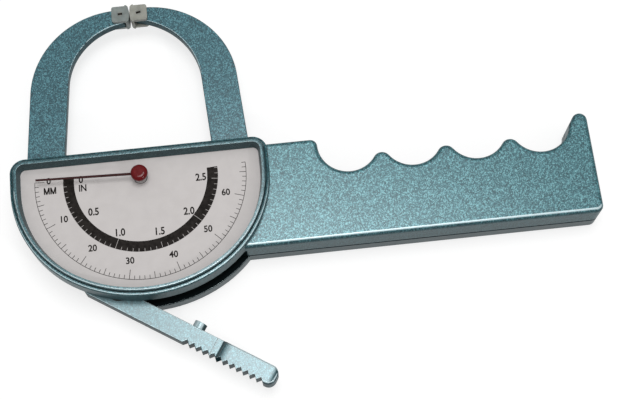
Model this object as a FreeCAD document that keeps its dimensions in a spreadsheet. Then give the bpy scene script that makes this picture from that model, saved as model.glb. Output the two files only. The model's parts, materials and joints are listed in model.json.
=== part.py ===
"""Skinfold caliper: two curved jaws, a round-bottomed dial housing and a finger-grip handle.

The origin is on the flat back, on the axis of the pointer.  +X runs along the handle, +Y towards
the jaw tips and +Z out of the dial.  The left jaw and the thumb lever are one arm that turns on
the jaw pivot; a toothed sector on it drives the pointer through an idler and a pinion.
"""
import FreeCAD, Part
import math
import os

V = FreeCAD.Vector
NEARLY = 1e-3

# Driving dimensions in millimetres and degrees: alias, value, meaning.
SIZES = [
    # levels, from the flat back to the top of the bezel
    ("rearDepth", 5.8, "depth of the rear half, up to the seam"),
    ("rearFloor", 2.2, "thickness of the rear half's floor"),
    ("slotDepth", 5.5, "height of the slot that the jaws and the lever run in"),
    ("frontFloor", 2.9, "floor between the slot and the dial recess"),
    ("handleDepth", 15.0, "thickness of the whole handle"),
    ("plateThick", 0.8, "thickness of the dial plate"),
    ("wallRise", 3.4, "height of the housing wall above the dial recess floor"),
    ("bezelHeight", 4.0, "height of the bezel above the dial plate"),
    # dial outline, at the bezel's inner top edge
    ("dialHalfWidth", 39.6, "half width of the dial opening"),
    ("dialTop", 6.95, "flat top edge of the dial opening above the pointer axis"),
    ("dialCorner", 2.5, "corner radius at the ends of the flat top edge"),
    ("sideArcX", 4.1, "distance of the side arcs' centres from the middle"),
    ("sideArcY", -1.45, "height of the side arcs' centres"),
    ("arcStep", 7.6, "bottom arc radius less side arc radius"),
    # offsets from that outline
    ("rearLip", 3.4, "rear half outside the dial opening, at the right and below"),
    ("rearLeft", 0.4, "rear half outside the dial opening, at the left"),
    ("rearChord", 3.4, "rear half's straight edge along the lever, from the jaw pivot"),
    ("rearChordEnd", -22.0, "left end of that straight edge, from the jaw pivot"),
    ("rearSideY", -8.0, "lower end of the rear half's left side"),
    ("rearWall", 2.5, "wall round the rear cavity"),
    ("frontLip", 2.4, "front half outside the dial opening"),
    ("bezelLip", 1.2, "bezel outside the dial opening"),
    ("bezelFit", 0.15, "gap between the bezel and the housing wall"),
    ("plateLip", 0.7, "dial plate outside the dial opening"),
    ("bezelFoot", 0.65, "how far the bezel's foot reaches inside the dial opening"),
    ("slotInset", 1.2, "slot's end wall inside the dial opening"),
    # handle
    ("handleTop", 7.4, "upper edge of the handle's shoulder"),
    ("handleBottom", -27.7, "lower edge of the handle"),
    ("handleEnd", 148.5, "far end of the handle"),
    ("handleRoot", 30.0, "where the handle starts inside the head"),
    ("shoulderEnd", 58.5, "end of the shoulder, start of the finger grooves"),
    ("shoulderCorner", 2.3, "corner radius of the shoulder"),
    ("grooveRadius", 10.0, "radius of a finger groove"),
    ("groovePitch", 21.3, "distance between finger grooves"),
    ("grooveCount", 4, "number of finger grooves"),
    ("crestRadius", 3.0, "radius of the crests between the grooves"),
    ("hornStart", 1.5, "end of the last groove's arc below the centres of the grooves"),
    ("hornDrop", 0.4, "centre of the end horn's tip below the centres of the grooves"),
    ("hornRadius", 2.5, "radius of the end horn's tip"),
    ("endCorner", 2.5, "corner radius at the handle's lower end"),
    ("handleRound", 1.4, "rounding of the handle's front edges"),
    ("backRound", 0.8, "rounding of the flat back's edges"),
    ("headRound", 0.6, "rounding of the housing wall and the bezel"),
    ("handleWall", 3.0, "wall thickness round the handle's cavity"),
    ("handleCells", 3, "cells of the handle's cavity"),
    ("ribThick", 2.0, "ribs between the cells"),
    # jaws
    ("jawAxis", -0.25, "line that the jaws meet on"),
    ("armThick", 4.5, "thickness of the arm and the lever"),
    ("jawThick", 3.0, "thickness of the jaws, flush with the arm's upper face"),
    ("leftOuterRadius", 30.68, "outer arc of the left jaw"),
    ("leftOuterX", -4.83, "outer arc's centre of the left jaw"),
    ("leftOuterY", 32.92, "outer arc's centre of the left jaw"),
    ("leftInnerRadius", 22.62, "inner arc of the left jaw"),
    ("leftInnerX", 0.05, "inner arc's centre of the left jaw"),
    ("leftInnerY", 35.86, "inner arc's centre of the left jaw"),
    ("leftRootOuter", -37.25, "outer edge of the left jaw at the housing"),
    ("leftRootInner", -24.85, "inner edge of the left jaw at the housing"),
    ("rightOuterRadius", 30.3, "outer arc of the right jaw"),
    ("rightOuterX", 4.25, "outer arc's centre of the right jaw"),
    ("rightOuterY", 33.48, "outer arc's centre of the right jaw"),
    ("rightInnerRadius", 25.46, "inner arc of the right jaw"),
    ("rightInnerX", -3.03, "inner arc's centre of the right jaw"),
    ("rightInnerY", 34.34, "inner arc's centre of the right jaw"),
    ("rightRootOuter", 36.0, "outer edge of the right jaw at the housing"),
    ("rightRootInner", 23.75, "inner edge of the right jaw at the housing"),
    ("jawRootY", 12.3, "height where the root edges are measured"),
    ("jawTipGap", 1.95, "jaw tip's end from the jaw axis"),
    ("jawFoot", -10.0, "lower end of the fixed jaw inside the slot"),
    ("footCorner", 2.0, "corner radius of the fixed jaw's foot"),
    ("seatInset", 0.6, "fixed jaw's seat inside the foot"),
    # pads on the jaw tips
    ("padPinX", 3.15, "swivel pin from the jaw axis"),
    ("padPinY", 61.3, "swivel pin above the pointer axis"),
    ("padPinRadius", 0.8, "radius of the swivel pin"),
    ("padGap", 0.1, "contact face from the jaw axis, at its middle"),
    ("padCrown", 0.25, "how far the contact face falls back towards its ends"),
    ("padFlange", 1.4, "thickness of the contact flange"),
    ("padHigh", 3.2, "half height of the contact flange"),
    ("padEarLength", 2.9, "ear length behind the swivel pin"),
    ("padEarHigh", 2.9, "half height of an ear"),
    ("padEarThick", 1.2, "thickness of an ear"),
    ("padSideFit", 0.15, "gap between an ear and the jaw"),
    ("padCorner", 0.8, "corner radius of an ear"),
    ("padChamfer", 0.6, "chamfer of the contact flange"),
    # jaw pivot and lever
    ("pivotX", -10.0, "jaw pivot beside the pointer axis"),
    ("pivotRise", 1.65, "jaw pivot above the dial opening's lowest point"),
    ("pivotRadius", 1.8, "radius of the pivot screw's shank"),
    ("pivotHead", 2.4, "radius of the pivot screw's head"),
    ("bushWall", 0.6, "wall of the pivot bush"),
    ("washerRadius", 3.2, "radius of the pivot washers"),
    ("leverAngle", -33.1, "direction of the lever with the jaws closed"),
    ("leverTop", 1.1, "upper edge of the lever from the line through the pivot"),
    ("leverBottom", -5.3, "lower edge of the lever from the line through the pivot"),
    ("leverEnd", 58.0, "end of the lever from the pivot"),
    ("leverCorner", 2.6, "corner radius of the lever's end"),
    ("thumbNotches", 5, "serrations before the thicker thumb pad"),
    ("thumbGap", 0.1, "gap between the thumb pad and the rear half's rim"),
    ("thumbRise", 0.8, "height of the thumb pad above the lever"),
    ("thumbRound", 0.7, "rounding of the thumb pad's upper edges"),
    ("jawRound", 0.3, "rounding of the jaws' edges"),
    ("notchStart", 26.0, "first thumb serration"),
    ("notchEnd", 56.0, "last thumb serration"),
    ("notchPitch", 2.4, "distance between serrations"),
    ("notchDepth", 1.3, "depth of a serration"),
    ("scribeAt", 35.5, "line scribed across the lever"),
    ("scribeWide", 0.35, "width of the scribed line"),
    ("scribeDeep", 0.25, "depth of the scribed line"),
    ("armHeelY", -6.0, "where the arm's outer edge turns towards the pivot"),
    ("armHeelU", -9.0, "where the lever's lower edge starts, from the pivot"),
    ("armTop", 6.0, "upper end of the arm's full thickness, inside the slot"),
    ("armElbowY", 2.0, "where the arm's inner edge turns towards the sector"),
    ("opening", 40.15, "turn of the arm from closed to fully open"),
    ("stopAt", 28.2, "stop post along the lever"),
    ("stopRadius", 2.1, "radius of the stop post"),
    ("stopHigh", 2.1, "height of the stop post"),
    ("stopGap", 0.1, "gap between the post and the pillar when fully open"),
    # gears
    ("gearModule", 0.8, "module of the teeth"),
    ("pressureAngle", 20.0, "pressure angle of the teeth"),
    ("sectorTeeth", 56, "teeth of the sector's full circle"),
    ("idlerTeeth", 14, "teeth of the idler"),
    ("pinionTeeth", 12, "teeth of the pointer pinion"),
    ("gearAddendum", 0.64, "height of a tooth above the pitch circle"),
    ("gearDedendum", 0.88, "depth of a tooth below the pitch circle"),
    ("gearBacklash", 0.12, "backlash at the pitch circle"),
    ("gearThick", 2.0, "thickness of the gears"),
    ("gearGap", 0.6, "gap between the gears and the front half's floor"),
    ("sectorInner", 14.0, "inner radius of the sector plate"),
    ("fanRim", 1.0, "arm's fan inside the roots of the sector's teeth"),
    # fasteners, posts and spring
    ("fitGap", 0.05, "radial gap of pins and screws in their holes"),
    ("headGap", 0.1, "radial gap of screw heads in their recesses"),
    ("headSink", 0.3, "screw heads below the flat back"),
    ("headThick", 1.1, "thickness of the screw heads"),
    ("screwRadius", 1.2, "radius of the frame screws"),
    ("screwHead", 2.2, "radius of the frame screws' heads"),
    ("screwGrip", 1.6, "length of a screw in the front half's floor"),
    ("gripRadius", 1.5, "radius of the handle screws"),
    ("gripHead", 2.8, "radius of the handle screws' heads"),
    ("gripLength", 6.0, "length of a handle screw in the front half"),
    ("gripNearX", 52.0, "handle screw near the head"),
    ("gripNearY", -12.0, "handle screw near the head"),
    ("gripFarX", 126.0, "handle screw near the end"),
    ("gripFarY", -16.5, "handle screw near the end"),
    ("gripBoss", 4.2, "radius of the bosses round the handle screws"),
    ("jawScrewX", 30.0, "fixed jaw's screws"),
    ("jawScrewHigh", 3.0, "upper screw of the fixed jaw"),
    ("jawScrewLow", -6.5, "lower screw of the fixed jaw"),
    ("pillarRadius", 2.5, "radius of the frame pillars"),
    ("pillarX", -15.0, "upper frame pillar"),
    ("pillarY", 3.0, "upper frame pillar"),
    ("bossWall", 1.0, "boss wall outside what stands on it"),
    ("sectorPinRadius", 1.0, "radius of the rivets that hold the sector"),
    ("sectorPinAt", 17.3, "rivets from the jaw pivot"),
    ("idlerPostRadius", 1.25, "radius of the idler's post"),
    ("idlerPostHead", 2.0, "radius of the idler post's head"),
    ("idlerHeadThick", 1.2, "thickness of the idler post's head"),
    ("idlerFloat", 0.3, "end play of the idler"),
    ("shaftRadius", 1.0, "radius of the pointer shaft"),
    ("shaftFoot", 1.0, "bottom of the pointer shaft above the rear floor"),
    ("bearingRadius", 3.0, "radius of the pointer shaft's rear bearing"),
    ("shaftBushRadius", 2.0, "radius of the pointer shaft's front bush"),
    ("shaftBushRise", 0.6, "front bush above the dial recess floor"),
    ("plateHole", 2.3, "radius of the hole in the dial plate"),
    ("handRise", 3.3, "pointer above the dial plate"),
    ("handThick", 0.4, "thickness of the pointer"),
    ("handLength", 33.5, "length of the pointer"),
    ("handWidth", 0.8, "width of the pointer at its hub"),
    ("handTipWidth", 0.6, "width of the pointer at its tip"),
    ("handHub", 2.2, "radius of the pointer's hub"),
    ("handAngle", 178.0, "direction of the pointer with the jaws closed"),
    ("handCollar", 1.5, "radius of the shaft's collar under the pointer"),
    ("capRadius", 2.8, "radius of the hub cap"),
    ("capRise", 1.6, "height of the hub cap above the pointer"),
    ("capRound", 1.3, "rounding of the hub cap"),
    ("springPull", 12.0, "arm's spring post from the jaw pivot"),
    ("springPullAngle", 100.0, "direction of the arm's spring post with the jaws closed"),
    ("springPostRadius", 0.9, "radius of the spring posts"),
    ("springPostDrop", 3.2, "length of the spring posts"),
    ("springAnchorX", 21.0, "spring's anchor on the rear half"),
    ("springAnchorY", -19.0, "spring's anchor on the rear half"),
    ("anchorRise", 0.2, "spring's anchor seat above the rear floor"),
    ("springRadius", 1.6, "outer radius of the spring's coil"),
    ("springWire", 0.35, "radius of the spring wire"),
    ("springHook", 6.0, "length of a spring hook from its post to the coil"),
]

doc = FreeCAD.newDocument("SkinfoldCaliper")
sheet = doc.addObject("Spreadsheet::Sheet", "Sizes")
for row, (alias, number, meaning) in enumerate(SIZES, 1):
    sheet.set("A%d" % row, meaning)
    sheet.set("B%d" % row, str(number))
    sheet.setAlias("B%d" % row, alias)
doc.recompute()

# Levels above the flat back, as formulas on the sheet.
SEAM = "Sizes.rearDepth"
SLOT_TOP = "(Sizes.rearDepth + Sizes.slotDepth)"
RECESS = "(Sizes.rearDepth + Sizes.slotDepth + Sizes.frontFloor)"
WALL_TOP = RECESS[:-1] + " + Sizes.wallRise)"
DIAL = RECESS[:-1] + " + Sizes.plateThick)"
BEZEL_TOP = DIAL[:-1] + " + Sizes.bezelHeight)"
ARM_LOW = "(Sizes.rearDepth + (Sizes.slotDepth - Sizes.armThick) / 2)"
ARM_HIGH = ARM_LOW[:-1] + " + Sizes.armThick)"
JAW_LOW = ARM_HIGH[:-1] + " - Sizes.jawThick)"
GEAR_HIGH = SLOT_TOP[:-1] + " - Sizes.gearGap)"
GEAR_LOW = GEAR_HIGH[:-1] + " - Sizes.gearThick)"
THUMB_HIGH = ARM_HIGH[:-1] + " + Sizes.thumbRise)"
ANCHOR_LOW = "(Sizes.rearFloor + Sizes.anchorRise)"
HEAD_LOW = "Sizes.headSink"
HEAD_HIGH = "(Sizes.headSink + Sizes.headThick)"
SCREW_TIP = SLOT_TOP[:-1] + " + Sizes.screwGrip)"
GRIP_TIP = "(Sizes.rearDepth + Sizes.gripLength)"
HAND_LOW = DIAL[:-1] + " + Sizes.handRise)"
HAND_HIGH = HAND_LOW[:-1] + " + Sizes.handThick)"


def size(alias):
    """A driving dimension as a plain number."""
    return float(sheet.get(alias))


def value(formula):
    """A formula on the sheet as a plain number."""
    return float(sheet.evalExpression(formula))


# Outlines ---------------------------------------------------------------------------------------

class Pen:
    """Draws one closed outline in the XY plane from lines and arcs."""

    def __init__(self, point):
        self.first = self.place = V(point[0], point[1], 0)
        self.edges = []

    def line(self, point):
        end = V(point[0], point[1], 0)
        if self.place.distanceToPoint(end) > NEARLY:
            self.edges.append(Part.LineSegment(self.place, end))
            self.place = end
        return self

    def arc(self, centre, point, turn=1):
        """Arc about a centre to the direction of a point, anticlockwise for turn 1."""
        middle = V(centre[0], centre[1], 0)
        radius = self.place.distanceToPoint(middle)
        start = math.atan2(self.place.y - middle.y, self.place.x - middle.x)
        end = math.atan2(point[1] - middle.y, point[0] - middle.x)
        circle = Part.Circle(middle, V(0, 0, 1), radius)
        if turn > 0:
            self.edges.append(Part.ArcOfCircle(circle, start, end))
        else:
            self.edges.append(Part.ArcOfCircle(circle, end, start))
        self.place = middle + V(radius * math.cos(end), radius * math.sin(end), 0)
        return self

    def through(self, middle, point):
        """Arc through a middle point to an end point."""
        end = V(point[0], point[1], 0)
        self.edges.append(Part.Arc(self.place, V(middle[0], middle[1], 0), end))
        self.place = end
        return self

    def close(self):
        return self.line((self.first.x, self.first.y)).edges


def polar(centre, radius, degrees):
    """Point at a radius and an angle from a centre."""
    angle = math.radians(degrees)
    return (centre[0] + radius * math.cos(angle), centre[1] + radius * math.sin(angle))


def turned(point, centre, degrees):
    """Point turned anticlockwise about a centre."""
    reach = math.hypot(point[0] - centre[0], point[1] - centre[1])
    start = math.degrees(math.atan2(point[1] - centre[1], point[0] - centre[0]))
    return polar(centre, reach, start + degrees)


def tangent_point(point, centre, radius, side):
    """Where a line from a point touches a circle; side +1 is to its left, seen from the point."""
    reach = math.hypot(centre[0] - point[0], centre[1] - point[1])
    heading = math.degrees(math.atan2(point[1] - centre[1], point[0] - centre[0]))
    spread = math.degrees(math.acos(radius / reach))
    return polar(centre, radius, heading - side * spread)


def circle_outline(centre, radius):
    """A full circle."""
    return [Part.Circle(V(centre[0], centre[1], 0), V(0, 0, 1), radius)]


def rounded_outline(corners):
    """Closed polygon from (x, y, corner radius) with each corner rounded by a tangent arc."""
    pen = None
    steps = []
    for index, (x, y, radius) in enumerate(corners):
        corner = V(x, y, 0)
        before = V(*corners[index - 1][:2], 0) - corner
        after = V(*corners[(index + 1) % len(corners)][:2], 0) - corner
        before.normalize()
        after.normalize()
        half = before.getAngle(after) / 2
        reach = radius / math.tan(half)
        inward = (before + after).normalize()
        centre = corner + inward * (radius / math.sin(half))
        turn = 1 if before.cross(after).z < 0 else -1
        steps.append((corner + before * reach, centre, corner + after * reach, turn, radius))
    pen = Pen(steps[0][2])
    for start, centre, end, turn, radius in steps[1:] + steps[:1]:
        pen.line(start)
        if radius > 0:
            pen.arc(centre, end, turn)
    return pen.close()


def low_arc(offset):
    """Height of the centre and radius of the wide arc at the bottom of the dial shape."""
    step = size("arcStep")
    centre_y = size("sideArcY") + math.sqrt(step ** 2 - size("sideArcX") ** 2)
    return centre_y, size("dialHalfWidth") + offset - size("sideArcX") + step


def dial_outline(offset):
    """Round-bottomed dial shape, offset outward from the bezel's inner top edge."""
    half = size("dialHalfWidth") + offset
    top = size("dialTop") + offset
    corner = size("dialCorner") + offset
    side_x = size("sideArcX")
    side_y = size("sideArcY")
    low_y, low_radius = low_arc(offset)
    swing = math.degrees(math.atan2(side_y - low_y, side_x))
    right = polar((0, low_y), low_radius, swing)
    pen = Pen((half, top - corner))
    pen.arc((half - corner, top - corner), (half - corner, top))
    pen.line((corner - half, top))
    pen.arc((corner - half, top - corner), (-half, top - corner))
    pen.line((-half, side_y))
    pen.arc((-side_x, side_y), (-right[0], right[1]))
    pen.arc((0, low_y), right)
    pen.arc((side_x, side_y), (half, side_y))
    return pen.close()


def inset_corner(corner, first, second, inset):
    """Corner of two straight edges moved inwards along their inward normals."""
    share = inset / (1 + first.dot(second))
    moved = V(corner[0], corner[1], 0) + (first + second) * share
    return (moved.x, moved.y)


def rear_outline(inset):
    """Rear half's head: wide arc at the right, straight edges along the lever and at the left."""
    half = size("dialHalfWidth") + size("rearLip")
    left = -size("dialHalfWidth") - size("rearLeft")
    top = size("dialTop") + size("frontLip") - inset
    corner = size("dialCorner") + size("frontLip") - inset
    side = (size("sideArcX"), size("sideArcY"))
    centre_y, radius = low_arc(size("rearLip") - inset)
    centre = (0, centre_y)
    inward = V(*polar((0, 0), 1, size("leverAngle") + 90), 0)
    chord = V(*along_lever(0, -size("rearChord")), 0) + inward * inset
    across = (V(*centre, 0) - chord).dot(inward)
    along = V(*polar((0, 0), 1, size("leverAngle")), 0)
    reach = (V(*centre, 0) - chord).dot(along) + math.sqrt(radius ** 2 - across ** 2)
    low_start = chord + along * reach
    chord_end = along_lever(size("rearChordEnd"), -size("rearChord"))
    side_end = (left, size("rearSideY"))
    slant = V(chord_end[1] - side_end[1], side_end[0] - chord_end[0], 0)
    slant = -slant.normalize()
    heel = inset_corner(chord_end, inward, slant, inset)
    hip = inset_corner(side_end, slant, V(1, 0, 0), inset)
    left += inset
    half -= inset
    pen = Pen((half, top - corner))
    pen.arc((half - corner, top - corner), (half - corner, top))
    pen.line((left + corner, top))
    pen.arc((left + corner, top - corner), (left, top - corner))
    pen.line(hip)
    pen.line(heel)
    pen.line((low_start.x, low_start.y))
    swing = math.degrees(math.atan2(side[1] - centre[1], side[0]))
    pen.arc(centre, polar(centre, radius, swing))
    pen.arc(side, (half, side[1]))
    return pen.close()


def handle_outline():
    """Side of the handle: shoulder, finger grooves with round crests, end horn and lower edge."""
    top = size("handleTop")
    corner = size("shoulderCorner")
    radius = size("grooveRadius")
    crest = size("crestRadius")
    pitch = size("groovePitch")
    centre_y = top - corner
    crest_y = centre_y - math.sqrt((radius + crest) ** 2 - (pitch / 2) ** 2)
    share = radius / (radius + crest)
    shoulder = size("shoulderEnd")
    root = size("handleRoot")
    end = size("handleEnd")
    bottom = size("handleBottom")
    pen = Pen((root, top))
    pen.line((shoulder - corner, top))
    pen.arc((shoulder - corner, centre_y), (shoulder, centre_y), -1)
    groove_x = shoulder + radius
    for _ in range(int(size("grooveCount")) - 1):
        crest_x = groove_x + pitch / 2
        touch_y = centre_y - share * (centre_y - crest_y)
        pen.arc((groove_x, centre_y), (groove_x + share * pitch / 2, touch_y))
        groove_x += pitch
        pen.arc((crest_x, crest_y), (groove_x - share * pitch / 2, touch_y), -1)
    drop = size("hornStart")
    horn_start = (groove_x + math.sqrt(radius ** 2 - drop ** 2), centre_y - drop)
    tip = size("hornRadius")
    horn = (end - tip, centre_y - size("hornDrop"))
    pen.arc((groove_x, centre_y), horn_start)
    pen.line(tangent_point(horn_start, horn, tip, 1))
    pen.arc(horn, (end, horn[1]), -1)
    corner = size("endCorner")
    pen.line((end, bottom + corner))
    pen.arc((end - corner, bottom + corner), (end - corner, bottom), -1)
    pen.line((root, bottom))
    return pen.close()


def handle_cavities():
    """Cells inside the handle, between its walls, ribs and screw bosses."""
    wall = size("handleWall")
    rib = size("ribThick")
    floor = size("handleTop") - size("shoulderCorner") - size("grooveRadius") - wall
    low = size("handleBottom") + wall
    start = size("shoulderEnd")
    stop = size("gripFarX") - size("gripBoss")
    cells = int(size("handleCells"))
    width = (stop - start - (cells - 1) * rib) / cells
    outlines = []
    for index in range(cells):
        left = start + index * (width + rib)
        corners = [(left, low), (left + width, low), (left + width, floor), (left, floor)]
        outlines.append(rounded_outline([(x, y, rib) for x, y in corners]))
    return outlines


# Positions that follow from the sizes -----------------------------------------------------------

def jaw_pivot():
    """Jaw pivot, just inside the lowest point of the dial opening."""
    centre_y, radius = low_arc(0)
    return (size("pivotX"), centre_y - radius + size("pivotRise"))


PIVOT = jaw_pivot()
POINTER = (0.0, 0.0)


def along_lever(reach, across):
    """Point beside the lever: reach from the pivot, across towards the handle."""
    return polar(polar(PIVOT, reach, size("leverAngle")), across, size("leverAngle") + 90)


def pitch_radius(teeth):
    """Pitch radius of a gear."""
    return size("gearModule") * teeth / 2


def idler_centre():
    """Idler axis: one mesh away from the sector's axis and one from the pointer's."""
    far = pitch_radius(size("sectorTeeth") + size("idlerTeeth"))
    near = pitch_radius(size("pinionTeeth") + size("idlerTeeth"))
    reach = math.hypot(*PIVOT)
    spread = math.acos((reach ** 2 + near ** 2 - far ** 2) / (2 * reach * near))
    heading = math.atan2(PIVOT[1], PIVOT[0])
    return polar(POINTER, near, math.degrees(heading + spread))


IDLER = idler_centre()
PILLAR = (size("pillarX"), size("pillarY"))
SPRING_PULL = polar(PIVOT, size("springPull"), size("springPullAngle"))
SPRING_ANCHOR = (size("springAnchorX"), size("springAnchorY"))
JAW_SCREWS = [(size("jawScrewX"), size("jawScrewHigh")), (size("jawScrewX"), size("jawScrewLow"))]
GRIP_SCREWS = [(size("gripNearX"), size("gripNearY")), (size("gripFarX"), size("gripFarY"))]


def stop_pillar():
    """Pillar that the lever's stop post meets at full opening."""
    reach = size("leverTop") + size("stopHigh") + size("stopGap") + size("pillarRadius")
    return turned(along_lever(size("stopAt"), reach), PIVOT, size("opening"))


STOP_PILLAR = stop_pillar()
FRAME_PILLARS = [PILLAR, STOP_PILLAR]


# Modelling helpers ------------------------------------------------------------------------------

def new_body(label):
    """An empty body with its own label."""
    body = doc.addObject("PartDesign::Body", "Body_" + label)
    body.Label = label
    return body


def flat_sketch(body, name, outlines, level):
    """Sketch parallel to the back plane, at a level given by a formula."""
    plane = [item for item in body.Origin.OriginFeatures if item.Role == "XY_Plane"][0]
    sketch = body.newObject("Sketcher::SketchObject", name + "Sketch")
    sketch.AttachmentSupport = (plane, "")
    sketch.MapMode = "FlatFace"
    sketch.setExpression("AttachmentOffset.Base.z", level)
    for outline in outlines:
        sketch.addGeometry(outline, False)
    return sketch


def pad(body, name, outlines, low, high):
    """Add material between two levels."""
    feature = body.newObject("PartDesign::Pad", name)
    feature.Profile = flat_sketch(body, name, outlines, low)
    feature.setExpression("Length", "%s - (%s)" % (high, low))
    body.Tip = feature
    return feature


def pocket(body, name, outlines, low, high):
    """Take material away between two levels."""
    doc.recompute()
    before = body.Tip.Shape.Volume
    feature = body.newObject("PartDesign::Pocket", name)
    feature.Profile = flat_sketch(body, name, outlines, low)
    feature.Reversed = True
    feature.setExpression("Length", "%s - (%s)" % (high, low))
    body.Tip = feature
    doc.recompute()
    if feature.Shape.Volume >= before:
        raise RuntimeError("pocket %s cuts nothing" % name)
    return feature


def edges_at(shape, level, near, reach):
    """Names of the edges that lie flat at a level, with their middle within reach of a point."""
    names = []
    for index, edge in enumerate(shape.Edges, 1):
        box = edge.BoundBox
        flat = abs(box.ZMin - level) < NEARLY and abs(box.ZMax - level) < NEARLY
        middle = edge.CenterOfMass
        if flat and math.hypot(middle.x - near[0], middle.y - near[1]) < reach:
            names.append("Edge%d" % index)
    return names


def round_edges(body, name, level, radius, near=(0, 0), reach=math.inf):
    """Round the edges that lie flat at a level: all of them, or those near a point."""
    doc.recompute()
    base = body.Tip
    feature = body.newObject("PartDesign::Fillet", name)
    feature.Base = (base, edges_at(base.Shape, value(level), near, reach))
    feature.setExpression("Radius", radius)
    body.Tip = feature
    doc.recompute()
    return feature


def cylinder(name, centre, radius, low, high):
    """Upright cylinder between two levels."""
    item = doc.addObject("Part::Cylinder", name)
    item.Placement.Base = V(centre[0], centre[1], 0)
    item.setExpression("Placement.Base.z", low)
    item.setExpression("Radius", radius)
    item.setExpression("Height", "%s - (%s)" % (high, low))
    return item


def stacked(name, centre, steps, bore=None):
    """Cylinders on one axis fused into one piece, with an optional bore."""
    items = [cylinder("%s%d" % (name, index), centre, *step) for index, step in enumerate(steps)]
    piece = items[0]
    if len(items) > 1:
        piece = doc.addObject("Part::MultiFuse", name + "Stack")
        piece.Shapes = items
        piece.Refine = True
    if bore:
        hole = cylinder(name + "Bore", centre, bore, steps[0][1], steps[-1][2])
        cut = doc.addObject("Part::Cut", name + "Cut")
        cut.Base = piece
        cut.Tool = hole
        piece = cut
    return piece


def grouped(label, pieces):
    """One node from one or more like pieces."""
    if len(pieces) == 1:
        pieces[0].Label = label
        return pieces[0]
    group = doc.addObject("Part::Compound", "Group_" + label)
    group.Links = pieces
    group.Label = label
    return group


# Frame ------------------------------------------------------------------------------------------

def jaw_foot(inset):
    """Foot of the fixed jaw inside the slot."""
    left = size("rightRootInner") + inset
    right = size("rightRootOuter") - inset
    low = size("jawFoot") + inset
    high = size("dialTop") - size("slotInset")
    corner = size("footCorner")
    return rounded_outline([(left, low, corner), (right, low, corner), (right, high, 0),
                            (left, high, 0)])


def rear_frame():
    """Rear half of the frame: flat back, cavity for the spring, bosses and screw recesses."""
    body = new_body("rear_frame")
    pad(body, "RearHead", [rear_outline(0)], "0", SEAM)
    pad(body, "RearHandle", [handle_outline()], "0", SEAM)
    round_edges(body, "RearRound", "0", "Sizes.backRound")
    pocket(body, "RearCavity", [rear_outline(size("rearWall"))], "Sizes.rearFloor", SEAM)
    pocket(body, "RearCells", handle_cavities(), "Sizes.rearFloor", SEAM)
    wall = size("bossWall")
    anchor = circle_outline(SPRING_ANCHOR, size("springPostRadius") + wall)
    pad(body, "PivotBoss", [circle_outline(PIVOT, size("washerRadius"))], "Sizes.rearFloor", SEAM)
    pad(body, "BearingBoss", [circle_outline(POINTER, size("bearingRadius"))],
        "Sizes.rearFloor", SEAM)
    pad(body, "AnchorBoss", [anchor], "Sizes.rearFloor", ANCHOR_LOW)
    for index, centre in enumerate(FRAME_PILLARS):
        outline = circle_outline(centre, size("pillarRadius") + wall)
        pad(body, "PillarBoss%d" % index, [outline], "Sizes.rearFloor", SEAM)
    pad(body, "JawSeat", [jaw_foot(size("seatInset"))], "Sizes.rearFloor", JAW_LOW)
    gap = size("fitGap")
    head_gap = size("headGap")
    shaft_hole = circle_outline(POINTER, size("shaftRadius") + gap)
    pocket(body, "BearingHole", [shaft_hole], "Sizes.rearFloor + Sizes.shaftFoot", SEAM)
    small = FRAME_PILLARS + JAW_SCREWS
    recesses = [circle_outline(centre, size("screwHead") + head_gap) for centre in small]
    recesses += [circle_outline(centre, size("gripHead") + head_gap) for centre in GRIP_SCREWS]
    recesses.append(circle_outline(PIVOT, size("pivotHead") + head_gap))
    pocket(body, "HeadRecesses", recesses, "0", HEAD_HIGH)
    holes = [circle_outline(centre, size("screwRadius") + gap) for centre in small]
    holes += [circle_outline(centre, size("gripRadius") + gap) for centre in GRIP_SCREWS]
    holes.append(circle_outline(PIVOT, size("pivotRadius") + gap))
    pocket(body, "ScrewHoles", holes, HEAD_HIGH, JAW_LOW)
    return body


def jaw_exit():
    """Way out of the slot for the fixed jaw."""
    left = size("rightRootInner")
    right = size("rightRootOuter") + size("seatInset")
    low = size("jawFoot")
    high = size("handleTop") + size("seatInset")
    return rounded_outline([(left, low, 0), (right, low, 0), (right, high, 0), (left, high, 0)])


def front_frame():
    """Front half of the frame: handle half, slot for the jaws and dial housing with its wall."""
    body = new_body("front_frame")
    pad(body, "FrontHandle", [handle_outline()], SEAM, "Sizes.handleDepth")
    round_edges(body, "FrontRound", "Sizes.handleDepth", "Sizes.handleRound")
    pocket(body, "Slot", [dial_outline(-size("slotInset"))], SEAM, SLOT_TOP)
    pocket(body, "JawExit", [jaw_exit()], SEAM, SLOT_TOP)
    pad(body, "FrontHead", [dial_outline(size("frontLip"))], SLOT_TOP, WALL_TOP)
    round_edges(body, "WallRound", WALL_TOP, "Sizes.headRound")
    recess = dial_outline(size("bezelLip") + size("bezelFit"))
    pocket(body, "DialRecess", [recess], RECESS, WALL_TOP)
    pad(body, "JawClamp", [jaw_foot(size("seatInset"))], ARM_HIGH, SLOT_TOP)
    pocket(body, "FrontCells", handle_cavities(), SEAM, "Sizes.handleDepth - Sizes.rearFloor")
    gap = size("fitGap")
    holes = [circle_outline(centre, size("screwRadius") + gap) for centre in FRAME_PILLARS]
    holes += [circle_outline(centre, size("screwRadius") + gap) for centre in JAW_SCREWS]
    holes.append(circle_outline(PIVOT, size("pivotRadius") + gap))
    holes.append(circle_outline(IDLER, size("idlerPostRadius") + gap))
    pocket(body, "FrontHoles", holes, ARM_HIGH, SCREW_TIP)
    grips = [circle_outline(centre, size("gripRadius") + gap) for centre in GRIP_SCREWS]
    pocket(body, "GripHoles", grips, SEAM, GRIP_TIP)
    bush = circle_outline(POINTER, size("shaftBushRadius") + gap)
    pocket(body, "BushHole", [bush], SLOT_TOP, RECESS)
    return body


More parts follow.
